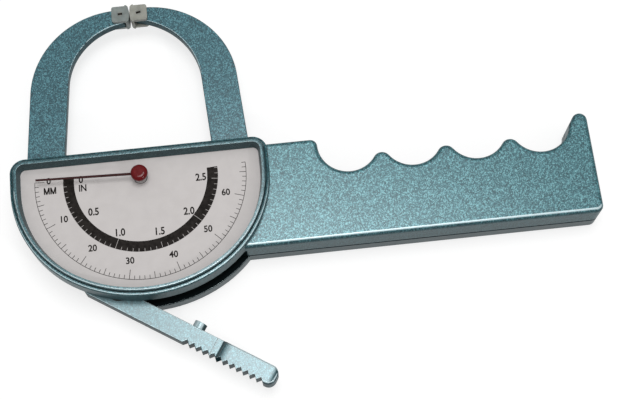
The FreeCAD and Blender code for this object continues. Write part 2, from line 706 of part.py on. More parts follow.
def frame_pieces():
    """Pillars and screws that hold the halves together."""
    pillars = [stacked("Pillar%d" % index, centre, [("Sizes.pillarRadius", SEAM, SLOT_TOP)],
                       "Sizes.screwRadius + Sizes.fitGap")
               for index, centre in enumerate(FRAME_PILLARS)]
    head = ("Sizes.screwHead", HEAD_LOW, HEAD_HIGH)
    shank = ("Sizes.screwRadius", HEAD_HIGH, SCREW_TIP)
    frame = [stacked("FrameScrew%d" % index, centre, [head, shank])
             for index, centre in enumerate(FRAME_PILLARS)]
    jaw = [stacked("JawScrew%d" % index, centre, [head, shank])
           for index, centre in enumerate(JAW_SCREWS)]
    grip_head = ("Sizes.gripHead", HEAD_LOW, HEAD_HIGH)
    grip_shank = ("Sizes.gripRadius", HEAD_HIGH, GRIP_TIP)
    grip = [stacked("GripScrew%d" % index, centre, [grip_head, grip_shank])
            for index, centre in enumerate(GRIP_SCREWS)]
    pivot = stacked("PivotScrew", PIVOT, [("Sizes.pivotHead", HEAD_LOW, HEAD_HIGH),
                                          ("Sizes.pivotRadius", HEAD_HIGH, SCREW_TIP)])
    washers = [stacked("Washer%d" % index, PIVOT, [("Sizes.washerRadius", low, high)],
                       "Sizes.pivotRadius + Sizes.fitGap")
               for index, (low, high) in enumerate([(SEAM, ARM_LOW), (ARM_HIGH, SLOT_TOP)])]
    return [grouped("frame_pillars", pillars), grouped("frame_screws", frame),
            grouped("fixed_jaw_screws", jaw), grouped("handle_screws", grip),
            grouped("jaw_pivot_screw", [pivot]), grouped("pivot_washers", washers)]


# Dial -------------------------------------------------------------------------------------------

def dial_bezel():
    """Ring round the open dial, sloping inwards down to the plate that it holds."""
    body = new_body("dial_bezel")
    pad(body, "BezelBlock", [dial_outline(size("bezelLip"))], DIAL, BEZEL_TOP)
    round_edges(body, "BezelRound", BEZEL_TOP, "Sizes.headRound")
    foot = flat_sketch(body, "BezelFoot", [dial_outline(-size("bezelFoot"))], DIAL)
    rim = flat_sketch(body, "BezelRim", [dial_outline(0)], BEZEL_TOP)
    opening = body.newObject("PartDesign::SubtractiveLoft", "BezelOpening")
    opening.Profile = foot
    opening.Sections = [rim]
    body.Tip = opening
    return body


def dial_plate():
    """Printed plate on the floor of the dial recess."""
    body = new_body("dial_plate")
    pad(body, "PlateSheet", [dial_outline(size("plateLip"))], RECESS, DIAL)
    pocket(body, "PlateHole", [circle_outline(POINTER, size("plateHole"))], RECESS, DIAL)
    return body


def pointer_pieces():
    """Pointer with its hub cap, shaft and bush."""
    hand = new_body("pointer_hand")
    angle = size("handAngle")
    hub = size("handHub")
    pad(hand, "HandHub", [circle_outline(POINTER, hub)], HAND_LOW, HAND_HIGH)
    wide = size("handWidth") / 2
    narrow = size("handTipWidth") / 2
    ends = [(size("handLength"), narrow), (size("handLength"), -narrow),
            (0, -wide), (0, wide)]
    corners = [polar(polar(POINTER, reach, angle), across, angle + 90) + (0,)
               for reach, across in ends]
    pad(hand, "HandBlade", [rounded_outline(corners)], HAND_LOW, HAND_HIGH)
    shaft_top = circle_outline(POINTER, size("shaftRadius") + size("fitGap"))
    pocket(hand, "HandHole", [shaft_top], HAND_LOW, HAND_HIGH)
    cap = new_body("pointer_hub_cap")
    pad(cap, "CapDisc", [circle_outline(POINTER, size("capRadius"))], HAND_HIGH,
        HAND_HIGH + " + Sizes.capRise")
    round_edges(cap, "CapRound", HAND_HIGH + " + Sizes.capRise", "Sizes.capRound")
    bush_top = RECESS[:-1] + " + Sizes.shaftBushRise)"
    collar_low = bush_top[:-1] + " + Sizes.fitGap)"
    shaft = stacked("Shaft", POINTER, [("Sizes.shaftRadius",
                                        "Sizes.rearFloor + Sizes.shaftFoot", HAND_HIGH),
                                       ("Sizes.handCollar", collar_low, HAND_LOW)])
    bush = stacked("ShaftBush", POINTER, [("Sizes.shaftBushRadius", SLOT_TOP, bush_top)],
                   "Sizes.shaftRadius + Sizes.fitGap")
    return [hand, cap, grouped("pointer_shaft", [shaft]), grouped("pointer_bush", [bush])]


# Gears ------------------------------------------------------------------------------------------

def involute(radius, base):
    """Involute angle of a flank at a radius, in degrees."""
    pressure = math.acos(base / radius)
    return math.degrees(math.tan(pressure) - pressure)


def draw_teeth(centre, teeth, angles, pen=None):
    """Draw teeth at the given angles, anticlockwise, each from root to tip and back."""
    pitch = pitch_radius(teeth)
    base = pitch * math.cos(math.radians(size("pressureAngle")))
    root = pitch - size("gearDedendum")
    tip = pitch + size("gearAddendum")
    foot = max(base, root)
    middle = (foot + tip) / 2
    play = math.degrees(size("gearBacklash") / 4 / pitch)
    half = 90.0 / teeth - play + involute(pitch, base)
    spread = {radius: half - involute(radius, base) for radius in (foot, middle, tip)}
    for angle in angles:
        start = polar(centre, root, angle - spread[foot])
        if pen is None:
            pen = Pen(start)
        else:
            pen.arc(centre, start)
        pen.line(polar(centre, foot, angle - spread[foot]))
        pen.through(polar(centre, middle, angle - spread[middle]),
                    polar(centre, tip, angle - spread[tip]))
        pen.arc(centre, polar(centre, tip, angle + spread[tip]))
        pen.through(polar(centre, middle, angle + spread[middle]),
                    polar(centre, foot, angle + spread[foot]))
        pen.line(polar(centre, root, angle + spread[foot]))
    return pen


def gear_phases():
    """Angles of one tooth of the sector, idler and pinion so that they mesh when closed."""
    sector, idler, pinion = (size(name) for name in ("sectorTeeth", "idlerTeeth", "pinionTeeth"))
    first = math.degrees(math.atan2(IDLER[1] - PIVOT[1], IDLER[0] - PIVOT[0]))
    second = math.degrees(math.atan2(POINTER[1] - IDLER[1], POINTER[0] - IDLER[0]))
    idler_phase = first + 180 + 180 / idler
    pinion_phase = second + 180 - idler / pinion * (idler_phase - second) + 180 / pinion
    return first, idler_phase, pinion_phase


def whole_gear(label, centre, teeth, phase, bore):
    """A spur gear with a plain bore."""
    body = new_body(label)
    angles = [phase + index * 360.0 / teeth for index in range(int(teeth))]
    pen = draw_teeth(centre, teeth, angles)
    pen.arc(centre, (pen.first.x, pen.first.y))
    pad(body, "Teeth_" + label, [pen.edges], GEAR_LOW, GEAR_HIGH)
    pocket(body, "Bore_" + label, [circle_outline(centre, bore)], GEAR_LOW, GEAR_HIGH)
    return body


def sector_angles():
    """Angles of the sector's teeth: enough for the whole opening and one more at each end."""
    teeth = size("sectorTeeth")
    step = 360.0 / teeth
    first = gear_phases()[0]
    count = math.ceil(size("opening") / step) + 1
    return [first + index * step for index in range(-count, 2)]


def sector_rivet_centres():
    """Rivets that hold the sector on the arm's fan."""
    angles = sector_angles()
    step = 360.0 / size("sectorTeeth")
    return [polar(PIVOT, size("sectorPinAt"), angle)
            for angle in (angles[0] + step, sum(angles) / len(angles), angles[-1] - step)]


def sector_gear():
    """Toothed sector that the arm carries."""
    body = new_body("sector_gear")
    teeth = size("sectorTeeth")
    angles = sector_angles()
    margin = 180.0 / teeth
    root = pitch_radius(teeth) - size("gearDedendum")
    inner = size("sectorInner")
    pen = Pen(polar(PIVOT, root, angles[0] - margin))
    pen = draw_teeth(PIVOT, teeth, angles, pen)
    pen.arc(PIVOT, polar(PIVOT, root, angles[-1] + margin))
    pen.line(polar(PIVOT, inner, angles[-1] + margin))
    pen.arc(PIVOT, polar(PIVOT, inner, angles[0] - margin), -1)
    pad(body, "SectorPlate", [pen.close()], GEAR_LOW, GEAR_HIGH)
    holes = [circle_outline(centre, size("sectorPinRadius") + size("fitGap"))
             for centre in sector_rivet_centres()]
    pocket(body, "SectorHoles", holes, GEAR_LOW, GEAR_HIGH)
    return body


def gear_pieces():
    """Idler and pinion, with the idler's post and the sector's rivets."""
    _, idler_phase, pinion_phase = gear_phases()
    idler = whole_gear("idler_gear", IDLER, size("idlerTeeth"), idler_phase,
                       size("idlerPostRadius") + size("fitGap"))
    pinion = whole_gear("pointer_pinion", POINTER, size("pinionTeeth"), pinion_phase,
                        size("shaftRadius") + size("fitGap"))
    head_top = GEAR_LOW + " - Sizes.idlerFloat"
    post = stacked("IdlerPost", IDLER, [("Sizes.idlerPostHead",
                                         head_top + " - Sizes.idlerHeadThick", head_top),
                                        ("Sizes.idlerPostRadius", head_top, SCREW_TIP)])
    rivets = [stacked("SectorRivet%d" % index, centre,
                      [("Sizes.sectorPinRadius", ARM_LOW, GEAR_HIGH)])
              for index, centre in enumerate(sector_rivet_centres())]
    return [idler, pinion, grouped("idler_post", [post]), grouped("sector_rivets", rivets)]


# Jaws -------------------------------------------------------------------------------------------

def draw_jaw(name, side, pen):
    """Continue an outline from the outer root edge round the arch to the inner root edge."""
    outer = (size(name + "OuterX"), size(name + "OuterY"))
    inner = (size(name + "InnerX"), size(name + "InnerY"))
    root_out = (size(name + "RootOuter"), size("jawRootY"))
    root_in = (size(name + "RootInner"), size("jawRootY"))
    top = outer[1] + size(name + "OuterRadius")
    reach = size(name + "InnerRadius")
    tip_x = size("jawAxis") + side * size("jawTipGap")
    tip_low = inner[1] + math.sqrt(reach ** 2 - (tip_x - inner[0]) ** 2)
    pen.line(root_out)
    pen.line(tangent_point(root_out, outer, size(name + "OuterRadius"), -side))
    pen.arc(outer, (outer[0], top), side)
    pen.line((tip_x, top))
    pen.line((tip_x, tip_low))
    pen.arc(inner, tangent_point(root_in, inner, reach, -side), -side)
    pen.line(root_in)
    return pen


def fixed_jaw():
    """Right jaw, screwed between the halves of the frame."""
    body = new_body("fixed_jaw")
    right = size("rightRootOuter")
    left = size("rightRootInner")
    low = size("jawFoot")
    corner = size("footCorner")
    pen = Pen((right, low + corner))
    draw_jaw("right", 1, pen)
    pen.line((left, low + corner))
    pen.arc((left + corner, low + corner), (left + corner, low))
    pen.line((right - corner, low))
    pen.arc((right - corner, low + corner), (right, low + corner))
    pad(body, "FixedArch", [pen.edges], JAW_LOW, ARM_HIGH)
    round_edges(body, "FixedRound", ARM_HIGH, "Sizes.jawRound")
    holes = [circle_outline(centre, size("screwRadius") + size("fitGap")) for centre in JAW_SCREWS]
    pin = (size("jawAxis") + size("padPinX"), size("padPinY"))
    holes.append(circle_outline(pin, size("padPinRadius") + size("fitGap")))
    pocket(body, "FixedHoles", holes, JAW_LOW, ARM_HIGH)
    return body


def serrated_edge(pen, first):
    """Lower edge of the lever from one of its pointed thumb serrations to its end."""
    pitch = size("notchPitch")
    low = size("leverBottom")
    count = int((size("notchEnd") - size("notchStart")) / pitch)
    for index in range(first, count):
        start = size("notchStart") + index * pitch
        pen.line(along_lever(start, low))
        pen.line(along_lever(start + pitch / 2, low + size("notchDepth")))
    pen.line(along_lever(size("notchStart") + count * pitch, low))
    return pen


def lever_end(pen):
    """Rounded end of the lever, from its lower to its upper edge."""
    end = size("leverEnd")
    corner = size("leverCorner")
    pen.line(along_lever(end - corner, size("leverBottom")))
    pen.arc(along_lever(end - corner, size("leverBottom") + corner),
            along_lever(end, size("leverBottom") + corner))
    pen.line(along_lever(end, size("leverTop") - corner))
    pen.arc(along_lever(end - corner, size("leverTop") - corner),
            along_lever(end - corner, size("leverTop")))
    return pen


def moving_jaw_lever():
    """Left jaw, arm, fan for the sector and thumb lever in one piece."""
    body = new_body("moving_jaw_lever")
    outer_x = size("leftRootOuter")
    inner_x = size("leftRootInner")
    angles = sector_angles()
    margin = 180.0 / size("sectorTeeth")
    fan = pitch_radius(size("sectorTeeth")) - size("gearDedendum") - size("fanRim")
    pen = Pen(along_lever(0, size("leverTop")))
    pen.line(polar(PIVOT, fan, angles[0] - margin))
    pen.arc(PIVOT, polar(PIVOT, fan, angles[-1] + margin))
    pen.line((inner_x, size("armElbowY")))
    pen.line((inner_x, size("armTop")))
    pen.line((outer_x, size("armTop")))
    pen.line((outer_x, size("armHeelY")))
    pen.line(along_lever(size("armHeelU"), size("leverBottom")))
    serrated_edge(pen, 0)
    lever_end(pen)
    pad(body, "ArmAndLever", [pen.close()], ARM_LOW, ARM_HIGH)
    arch = Pen((outer_x, size("armElbowY")))
    draw_jaw("left", -1, arch)
    arch.line((inner_x, size("armElbowY")))
    pad(body, "MovingArch", [arch.close()], JAW_LOW, ARM_HIGH)
    round_edges(body, "ArmRound", ARM_HIGH, "Sizes.jawRound")
    first = int(size("thumbNotches"))
    thumb_start = size("notchStart") + first * size("notchPitch")
    thumb = Pen(along_lever(thumb_start, size("leverTop")))
    serrated_edge(thumb, first)
    lever_end(thumb)
    pad(body, "ThumbPad", [thumb.close()], SEAM + " + Sizes.thumbGap", THUMB_HIGH)
    middle = (size("leverTop") + size("leverBottom")) / 2
    round_edges(body, "ThumbStartRound", THUMB_HIGH, "Sizes.thumbRound",
                along_lever(thumb_start, middle), size("leverCorner"))
    round_edges(body, "ThumbEndRound", THUMB_HIGH, "Sizes.thumbRound",
                along_lever(size("leverEnd"), middle), size("leverCorner"))
    near = size("sectorInner") - size("fanRim")
    reach = pitch_radius(size("sectorTeeth")) + size("gearAddendum") + size("fanRim")
    low_side = angles[0] - 3 * margin
    high_side = angles[-1] + 3 * margin
    recess = Pen(polar(PIVOT, near, low_side))
    recess.line(polar(PIVOT, reach, low_side))
    recess.arc(PIVOT, polar(PIVOT, reach, high_side))
    recess.line(polar(PIVOT, near, high_side))
    recess.arc(PIVOT, polar(PIVOT, near, low_side), -1)
    pocket(body, "SectorRecess", [recess.close()], GEAR_LOW, ARM_HIGH)
    gap = size("fitGap")
    pin = (size("jawAxis") - size("padPinX"), size("padPinY"))
    holes = [circle_outline(centre, size("sectorPinRadius") + gap)
             for centre in sector_rivet_centres()]
    holes.append(circle_outline(pin, size("padPinRadius") + gap))
    holes.append(circle_outline(PIVOT, size("pivotRadius") + size("bushWall") + 2 * gap))
    pocket(body, "ArmHoles", holes, ARM_LOW, ARM_HIGH)
    scribe = [along_lever(size("scribeAt") + across, up)
              for across, up in ((0, size("leverBottom")), (size("scribeWide"), size("leverBottom")),
                                 (size("scribeWide"), size("leverTop")), (0, size("leverTop")))]
    pocket(body, "ScribedLine", [rounded_outline([point + (0,) for point in scribe])],
           ARM_HIGH + " - Sizes.scribeDeep", ARM_HIGH)
    return body


def arm_pieces():
    """Pivot bush, stop post and spring post of the arm."""
    bush = stacked("Bush", PIVOT, [("Sizes.pivotRadius + Sizes.bushWall + Sizes.fitGap",
                                    ARM_LOW, ARM_HIGH)], "Sizes.pivotRadius + Sizes.fitGap")
    stop = doc.addObject("Part::Cylinder", "StopPost")
    stop.setExpression("Radius", "Sizes.stopRadius")
    stop.setExpression("Height", "Sizes.stopHigh")
    base = along_lever(size("stopAt"), size("leverTop"))
    toward = V(*polar((0, 0), 1, size("leverAngle") + 90), 0)
    stop.Placement = FreeCAD.Placement(V(base[0], base[1], 0), FreeCAD.Rotation(V(0, 0, 1), toward))
    stop.setExpression("Placement.Base.z", "(%s + %s) / 2" % (ARM_LOW, ARM_HIGH))
    pull = stacked("PullPost", SPRING_PULL, [("Sizes.springPostRadius",
                                              ARM_LOW + " - Sizes.springPostDrop", ARM_LOW)])
    anchor = stacked("AnchorPost", SPRING_ANCHOR,
                     [("Sizes.springPostRadius", ANCHOR_LOW,
                       ANCHOR_LOW + " + Sizes.springPostDrop")])
    return [grouped("pivot_bush", [bush]), grouped("lever_stop_post", [stop]),
            grouped("spring_pull_post", [pull]), grouped("spring_anchor_post", [anchor])]


def closing_spring():
    """Tension spring from the arm's post to the rear half's post: a coil with a hook at each end."""
    start = V(SPRING_PULL[0], SPRING_PULL[1], 0)
    end = V(SPRING_ANCHOR[0], SPRING_ANCHOR[1], 0)
    along = (end - start).normalize()
    level = V(0, 0, (value(ARM_LOW) - size("springPostDrop") + value(SEAM)) / 2)
    wire = size("springWire")
    loop = size("springPostRadius") + size("fitGap") + wire
    hook = size("springHook")
    coil_length = start.distanceToPoint(end) - 2 * hook
    coil = Part.makeCylinder(size("springRadius"), coil_length, start + along * hook + level, along)
    core = size("springRadius") - 2 * wire
    coil = coil.cut(Part.makeCylinder(core, coil_length, start + along * hook + level, along))
    pieces = []
    for post, way in ((start, along), (end, -along)):
        low = post + level - V(0, 0, 1.5 * wire)
        eye = Part.makeCylinder(loop + wire, 3 * wire, low)
        pieces.append(eye.cut(Part.makeCylinder(loop - wire, 3 * wire, low)))
        shank = hook - loop + wire
        pieces.append(Part.makeCylinder(wire, shank, post + way * loop + level, way))
        end_disc = post + way * hook + level
        pieces.append(Part.makeCylinder(size("springRadius"), 2 * wire, end_disc, way))
    spring = doc.addObject("Part::Feature", "Spring")
    spring.Label = "closing_spring"
    spring.Shape = coil.multiFuse(pieces).removeSplitter()
    return spring


# Pads -------------------------------------------------------------------------------------------

def jaw_pad(label, side):
    """Swivelling pad: crowned contact flange and two ears that straddle the jaw tip."""
    body = new_body(label)
    axis = size("jawAxis")
    face = axis + side * size("padGap")
    back = axis + side * (size("padGap") + size("padFlange"))
    pin = (axis + side * size("padPinX"), size("padPinY"))
    tail = pin[0] + side * size("padEarLength")
    high = size("padHigh")
    bevel = size("padChamfer")
    low_level = "%s - Sizes.padSideFit - Sizes.padEarThick" % JAW_LOW
    high_level = "%s + Sizes.padSideFit + Sizes.padEarThick" % ARM_HIGH
    edge = face + side * size("padCrown")
    inset = edge + side * bevel
    flange = Pen((back, pin[1] - high))
    flange.line((inset, pin[1] - high))
    flange.line((edge, pin[1] - high + bevel))
    flange.through((face, pin[1]), (edge, pin[1] + high - bevel))
    flange.line((inset, pin[1] + high))
    flange.line((back, pin[1] + high))
    pad(body, label + "Flange", [flange.close()], low_level, high_level)
    ear_high = size("padEarHigh")
    corner = size("padCorner")
    root = (inset + back) / 2
    ear = [(root, pin[1] - ear_high, 0), (tail, pin[1] - ear_high, corner),
           (tail, pin[1] + ear_high, corner), (root, pin[1] + ear_high, 0)]
    pad(body, label + "LowEar", [rounded_outline(ear)], low_level,
        "%s - Sizes.padSideFit" % JAW_LOW)
    pad(body, label + "HighEar", [rounded_outline(ear)], "%s + Sizes.padSideFit" % ARM_HIGH,
        high_level)
    hole = circle_outline(pin, size("padPinRadius") + size("fitGap"))
    pocket(body, label + "PinHole", [hole], low_level, high_level)
    return body


def pad_pin(label, side):
    """Swivel pin through a pad's ears and the jaw tip."""
    centre = (size("jawAxis") + side * size("padPinX"), size("padPinY"))
    low = "%s - Sizes.padSideFit - Sizes.padEarThick" % JAW_LOW
    high = "%s + Sizes.padSideFit + Sizes.padEarThick" % ARM_HIGH
    return grouped(label, [stacked(label, centre, [("Sizes.padPinRadius", low, high)])])


# Build, check and write -------------------------------------------------------------------------

nodes = [rear_frame(), front_frame(), dial_bezel(), dial_plate(), sector_gear(), fixed_jaw(),
         moving_jaw_lever(), closing_spring()]
nodes += frame_pieces() + pointer_pieces() + gear_pieces() + arm_pieces()
nodes += [jaw_pad("left_pad", -1), jaw_pad("right_pad", 1), pad_pin("left_pad_pin", -1),
          pad_pin("right_pad_pin", 1)]
doc.recompute()

for item in doc.Objects:
    if "Invalid" in item.State or "Error" in item.State:
        raise RuntimeError("%s failed: %s" % (item.Label, item.State))
for node in nodes:
    if node.Shape.isNull() or not node.Shape.isValid():
        raise RuntimeError("%s has no valid shape" % node.Label)

os.makedirs("parts", exist_ok=True)
for node in nodes:
    node.Shape.exportStep("parts/%s.step" % node.Label)
    print("%-20s %d solids %9.2f mm3" % (node.Label, len(node.Shape.Solids), node.Shape.Volume))
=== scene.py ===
# %% [markdown]
# # Skinfold caliper
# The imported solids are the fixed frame: every casting, gear, screw and spring is already in its
# place, in metres. This notebook gives them their finishes and adds what solids alone don't have:
# the print on the dial, driven screw heads, a wound spring, and the light on the table.

# %% Load the frame
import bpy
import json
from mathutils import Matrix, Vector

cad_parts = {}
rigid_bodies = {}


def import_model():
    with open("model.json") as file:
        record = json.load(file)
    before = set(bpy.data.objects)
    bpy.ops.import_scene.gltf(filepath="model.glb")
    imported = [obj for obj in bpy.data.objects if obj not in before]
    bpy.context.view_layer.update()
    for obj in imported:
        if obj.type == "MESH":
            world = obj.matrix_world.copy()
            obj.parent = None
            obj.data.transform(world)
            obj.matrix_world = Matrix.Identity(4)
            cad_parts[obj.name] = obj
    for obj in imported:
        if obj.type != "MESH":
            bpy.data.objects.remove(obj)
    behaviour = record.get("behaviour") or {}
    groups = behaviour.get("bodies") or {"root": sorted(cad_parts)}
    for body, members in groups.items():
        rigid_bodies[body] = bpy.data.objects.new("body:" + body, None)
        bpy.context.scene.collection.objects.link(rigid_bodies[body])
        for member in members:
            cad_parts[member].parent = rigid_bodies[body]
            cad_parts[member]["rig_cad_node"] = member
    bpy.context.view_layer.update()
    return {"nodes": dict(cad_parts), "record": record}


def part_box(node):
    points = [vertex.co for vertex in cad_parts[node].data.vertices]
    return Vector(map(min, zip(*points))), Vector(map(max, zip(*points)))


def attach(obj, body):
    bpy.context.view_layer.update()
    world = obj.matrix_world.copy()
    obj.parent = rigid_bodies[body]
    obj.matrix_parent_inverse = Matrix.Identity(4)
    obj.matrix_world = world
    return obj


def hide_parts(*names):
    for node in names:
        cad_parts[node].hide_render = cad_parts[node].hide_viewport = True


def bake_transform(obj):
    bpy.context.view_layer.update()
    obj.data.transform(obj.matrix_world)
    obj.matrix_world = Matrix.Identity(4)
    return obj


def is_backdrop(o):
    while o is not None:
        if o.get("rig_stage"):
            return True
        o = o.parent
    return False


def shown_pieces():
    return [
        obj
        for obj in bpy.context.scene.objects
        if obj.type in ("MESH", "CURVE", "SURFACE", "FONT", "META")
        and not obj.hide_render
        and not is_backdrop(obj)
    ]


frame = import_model()

# %% [markdown]
# ## Tools and units
# Blender works in metres and radians, but an instrument like this is drawn in millimetres and
# degrees. So the tool's own lengths are given in millimetres and multiplied by MM, and angles in
# degrees go through one short helper. The table and the lamps are larger and stay in metres.

# %% Tools and units
import json
import math

import bmesh
import bpy
from mathutils import Matrix, Vector

MM = 0.001
NODES = frame["nodes"]


def deg(angle):
    """An angle in degrees as radians."""
    return math.radians(angle)


def reach(name):
    """Size of a node's box in millimetres."""
    low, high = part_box(name)
    return [round((b - a) / MM, 1) for a, b in zip(low, high)]


print("front casting is", reach("front_frame"), "mm")

# %% [markdown]
# ## The camera
# The instrument lies flat and is looked down on from its lower side, 19 degrees off the vertical,
# with its handle turned a little towards the upper right. A long lens keeps the perspective mild.
# The position is a measured one, so the camera is set by numbers rather than by aiming it.

# %% Camera
camera_place = Vector((38.75, -150.08, 413.19)) * MM
camera_tilt = 19.0
camera_turn = -6.2
camera_lens = 75.85
camera_near = 0.01

camera = bpy.data.objects.new("camera", bpy.data.cameras.new("camera"))
bpy.context.scene.collection.objects.link(camera)
camera.location = camera_place
camera.rotation_euler = (deg(camera_tilt), 0, deg(camera_turn))
camera.data.lens = camera_lens
camera.data.clip_start = camera_near
bpy.context.scene.camera = camera
print("camera", round(camera.location.length, 3), "m from the pointer's axis")

# %% [markdown]
# ## The table
# A white card, lit by the lamps and keeping the soft shadow under the tool. It should look white
# without flooding the tool with light, so the card glows only for rays that come from the camera
# or from a reflection, and stays a plain grey-white sheet for everything else.

# %% Floor
card_size = 6.0
card_drop = 0.0002
card_colour = (0.36, 0.36, 0.36, 1)
card_rough = 0.9
card_glow = 0.71


def seen_only(links, paths):
    """1 for camera, glossy and transmission rays, 0 for the rays that light things."""
    total = None
    for ray in ("Is Camera Ray", "Is Glossy Ray", "Is Transmission Ray"):
        if total is None:
            total = paths.outputs[ray]
            continue
        add = paths.id_data.nodes.new("ShaderNodeMath")
        add.use_clamp = True
        links.new(total, add.inputs[0])
        links.new(paths.outputs[ray], add.inputs[1])
        total = add.outputs[0]
    return total


card_paint = bpy.data.materials.new("white_card")
card_paint.use_nodes = True
tree = card_paint.node_tree
card_shader = tree.nodes["Principled BSDF"]
card_shader.inputs["Base Color"].default_value = card_colour
card_shader.inputs["Roughness"].default_value = card_rough
card_shader.inputs["Emission Color"].default_value = (1, 1, 1, 1)
glow = tree.nodes.new("ShaderNodeMath")
glow.operation = "MULTIPLY"
glow.inputs[1].default_value = card_glow
tree.links.new(seen_only(tree.links, tree.nodes.new("ShaderNodeLightPath")), glow.inputs[0])
tree.links.new(glow.outputs[0], card_shader.inputs["Emission Strength"])

card_mesh = bpy.data.meshes.new("white_card")
half = card_size / 2
card_mesh.from_pydata([(-half, -half, -card_drop), (half, -half, -card_drop),
                       (half, half, -card_drop), (-half, half, -card_drop)], [], [(0, 1, 2, 3)])
card = bpy.data.objects.new("white_card", card_mesh)
bpy.context.scene.collection.objects.link(card)
card_mesh.materials.append(card_paint)
card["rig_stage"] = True
print("card", card_size, "m square")

# %% [markdown]
# ## The lamps
# Metallic paint is bright where it mirrors a lamp and dark where it doesn't. The soft box hangs so
# that the lever mirrors it, the handle catches its edge and the jaws miss it; a painted sheen on
# the lever and a darker teal on the jaws add to that. The bright line along each rounded lower
# edge is partly its reflection and partly a painted highlight. A sun lamp would be simpler, but
# it shines from the same direction everywhere, so all flat faces would look alike. A small weak
# lamp at the right only puts the bright crescent on the pointer's cap.

# %% Lamps
lamps = {
    "soft_box": {"place": (0.07, 0.08, 0.95), "aim": (0.03, 0.0, 0.0), "size": 0.42, "watts": 3.9},
    "side_lamp": {"place": (0.42, -0.46, 0.40), "aim": (0.0, 0.0, 0.0), "size": 0.05,
                  "watts": 0.6},
}


def hang_lamp(name, place, aim, size, watts):
    """A square soft lamp at a place, turned to what it lights."""
    lamp = bpy.data.objects.new(name, bpy.data.lights.new(name, "AREA"))
    bpy.context.scene.collection.objects.link(lamp)
    lamp.data.size = size
    lamp.data.energy = watts
    lamp.location = place
    lamp.rotation_euler = (Vector(aim) - Vector(place)).to_track_quat("-Z", "Y").to_euler()


for name, facts in lamps.items():
    hang_lamp(name, **facts)
print("lamps:", ", ".join(lamps))

# %% [markdown]
# ## The room
# The world light is that of a room with a pale ceiling and darker walls. The ceiling fills the
# shadows, and the darker walls are what the paint shows in the band under each bright edge. An
# even grey world would leave the paint nothing darker to show. The height of a direction, from 0
# at the horizon to 1 overhead, sets how bright the room is there.

# %% World light
top_level, low_level = 0.58, 0.16
ceiling_height, wall_height = 0.85, 0.15

world = bpy.data.worlds.new("studio")
bpy.context.scene.world = world
world.use_nodes = True
sky = world.node_tree.nodes["Background"]
sky.inputs["Color"].default_value = (1, 1, 1, 1)
direction = world.node_tree.nodes.new("ShaderNodeTexCoord")
height = world.node_tree.nodes.new("ShaderNodeSeparateXYZ")
rise = world.node_tree.nodes.new("ShaderNodeMapRange")
for socket, value in (("From Min", wall_height), ("From Max", ceiling_height),
                      ("To Min", low_level), ("To Max", top_level)):
    rise.inputs[socket].default_value = value
world.node_tree.links.new(direction.outputs["Generated"], height.inputs[0])
world.node_tree.links.new(height.outputs["Z"], rise.inputs["Value"])
world.node_tree.links.new(rise.outputs["Result"], sky.inputs["Strength"])
bpy.context.scene.view_settings.view_transform = "Standard"
print("room light from", low_level, "to", top_level)

# %% [markdown]
# ## Finishes
# Each finish is one Principled shader fed by textures that lie in the object's own space, so the
# grain keeps its true size on every casting and moves with the moving ones. Unwrapping each solid
# for flat textures would be more work and would leave seams. A small helper starts such a
# material. Others add a node, link it to the shader, colour a value by a ramp and raise the
# surface by a texture.

# %% Start a finish
def start_finish(name, colour, **sockets):
    """A material with its shader's fixed sockets set."""
    made = bpy.data.materials.new(name)
    made.use_nodes = True
    shader = made.node_tree.nodes["Principled BSDF"]
    shader.inputs["Base Color"].default_value = (*colour, 1)
    for socket, value in sockets.items():
        shader.inputs[socket.replace("_", " ")].default_value = value
    return made


def node(finish, kind, links=(), **settings):
    """A node of a material, with its inputs linked or set."""
    made = finish.node_tree.nodes.new(kind)
    for name, value in settings.items():
        setattr(made, name, value)
    for socket, source in dict(links).items():
        if hasattr(source, "is_output"):
            finish.node_tree.links.new(source, made.inputs[socket])
        else:
            made.inputs[socket].default_value = source
    return made


def feed(finish, socket, source):
    """Links an output to a socket of the material's shader."""
    finish.node_tree.links.new(source, finish.node_tree.nodes["Principled BSDF"].inputs[socket])


def in_place(finish):
    """The object's own coordinates in metres."""
    return node(finish, "ShaderNodeTexCoord").outputs["Object"]


def noise(finish, where, scale, detail=2.0):
    """A cloudy value from 0 to 1."""
    return node(finish, "ShaderNodeTexNoise",
                {"Vector": where, "Scale": scale, "Detail": detail}).outputs["Fac"]


def ramp(finish, source, stops):
    """A colour ramp with its stops as (place, colour)."""
    made = node(finish, "ShaderNodeValToRGB", {"Fac": source})
    band = made.color_ramp
    while len(band.elements) < len(stops):
        band.elements.new(0.5)
    for element, (place, colour) in zip(band.elements, stops):
        element.position = place
        element.color = (*colour, 1)
    return made.outputs["Color"]


def relief(finish, height, depth, strength, **under):
    """Raises the surface by a texture, on top of another normal where one is given."""
    bump = node(finish, "ShaderNodeBump",
                {"Height": height, "Distance": depth, "Strength": strength, **under})
    feed(finish, "Normal", bump.outputs["Normal"])


print("finish tools ready")

# %% [markdown]
# ## Sums and masks
# A mask is a value from 0 to 1 that says where a finish changes. Masks are made and joined by
# small sums, and the same few sums come back in every finish, so each has a helper.

# %% Sums and masks
def maths(finish, operation, *values):
    """Result of one sum."""
    return node(finish, "ShaderNodeMath", dict(enumerate(values)), operation=operation).outputs[0]


def times(finish, first, second):
    """Product of two values."""
    return maths(finish, "MULTIPLY", first, second)


def rest(finish, mask):
    """What a mask leaves: 1 less the mask."""
    return maths(finish, "SUBTRACT", 1.0, mask)


def between(finish, value, start, end, low=0.0, high=1.0):
    """The low value at the start, going over evenly to the high value at the end."""
    return node(finish, "ShaderNodeMapRange",
                {"Value": value, "From Min": start, "From Max": end,
                 "To Min": low, "To Max": high}).outputs["Result"]


def scaled(finish, share, low, high):
    """The low value where a share is 0, going over to the high one where it is 1."""
    return between(finish, share, 0.0, 1.0, low, high)


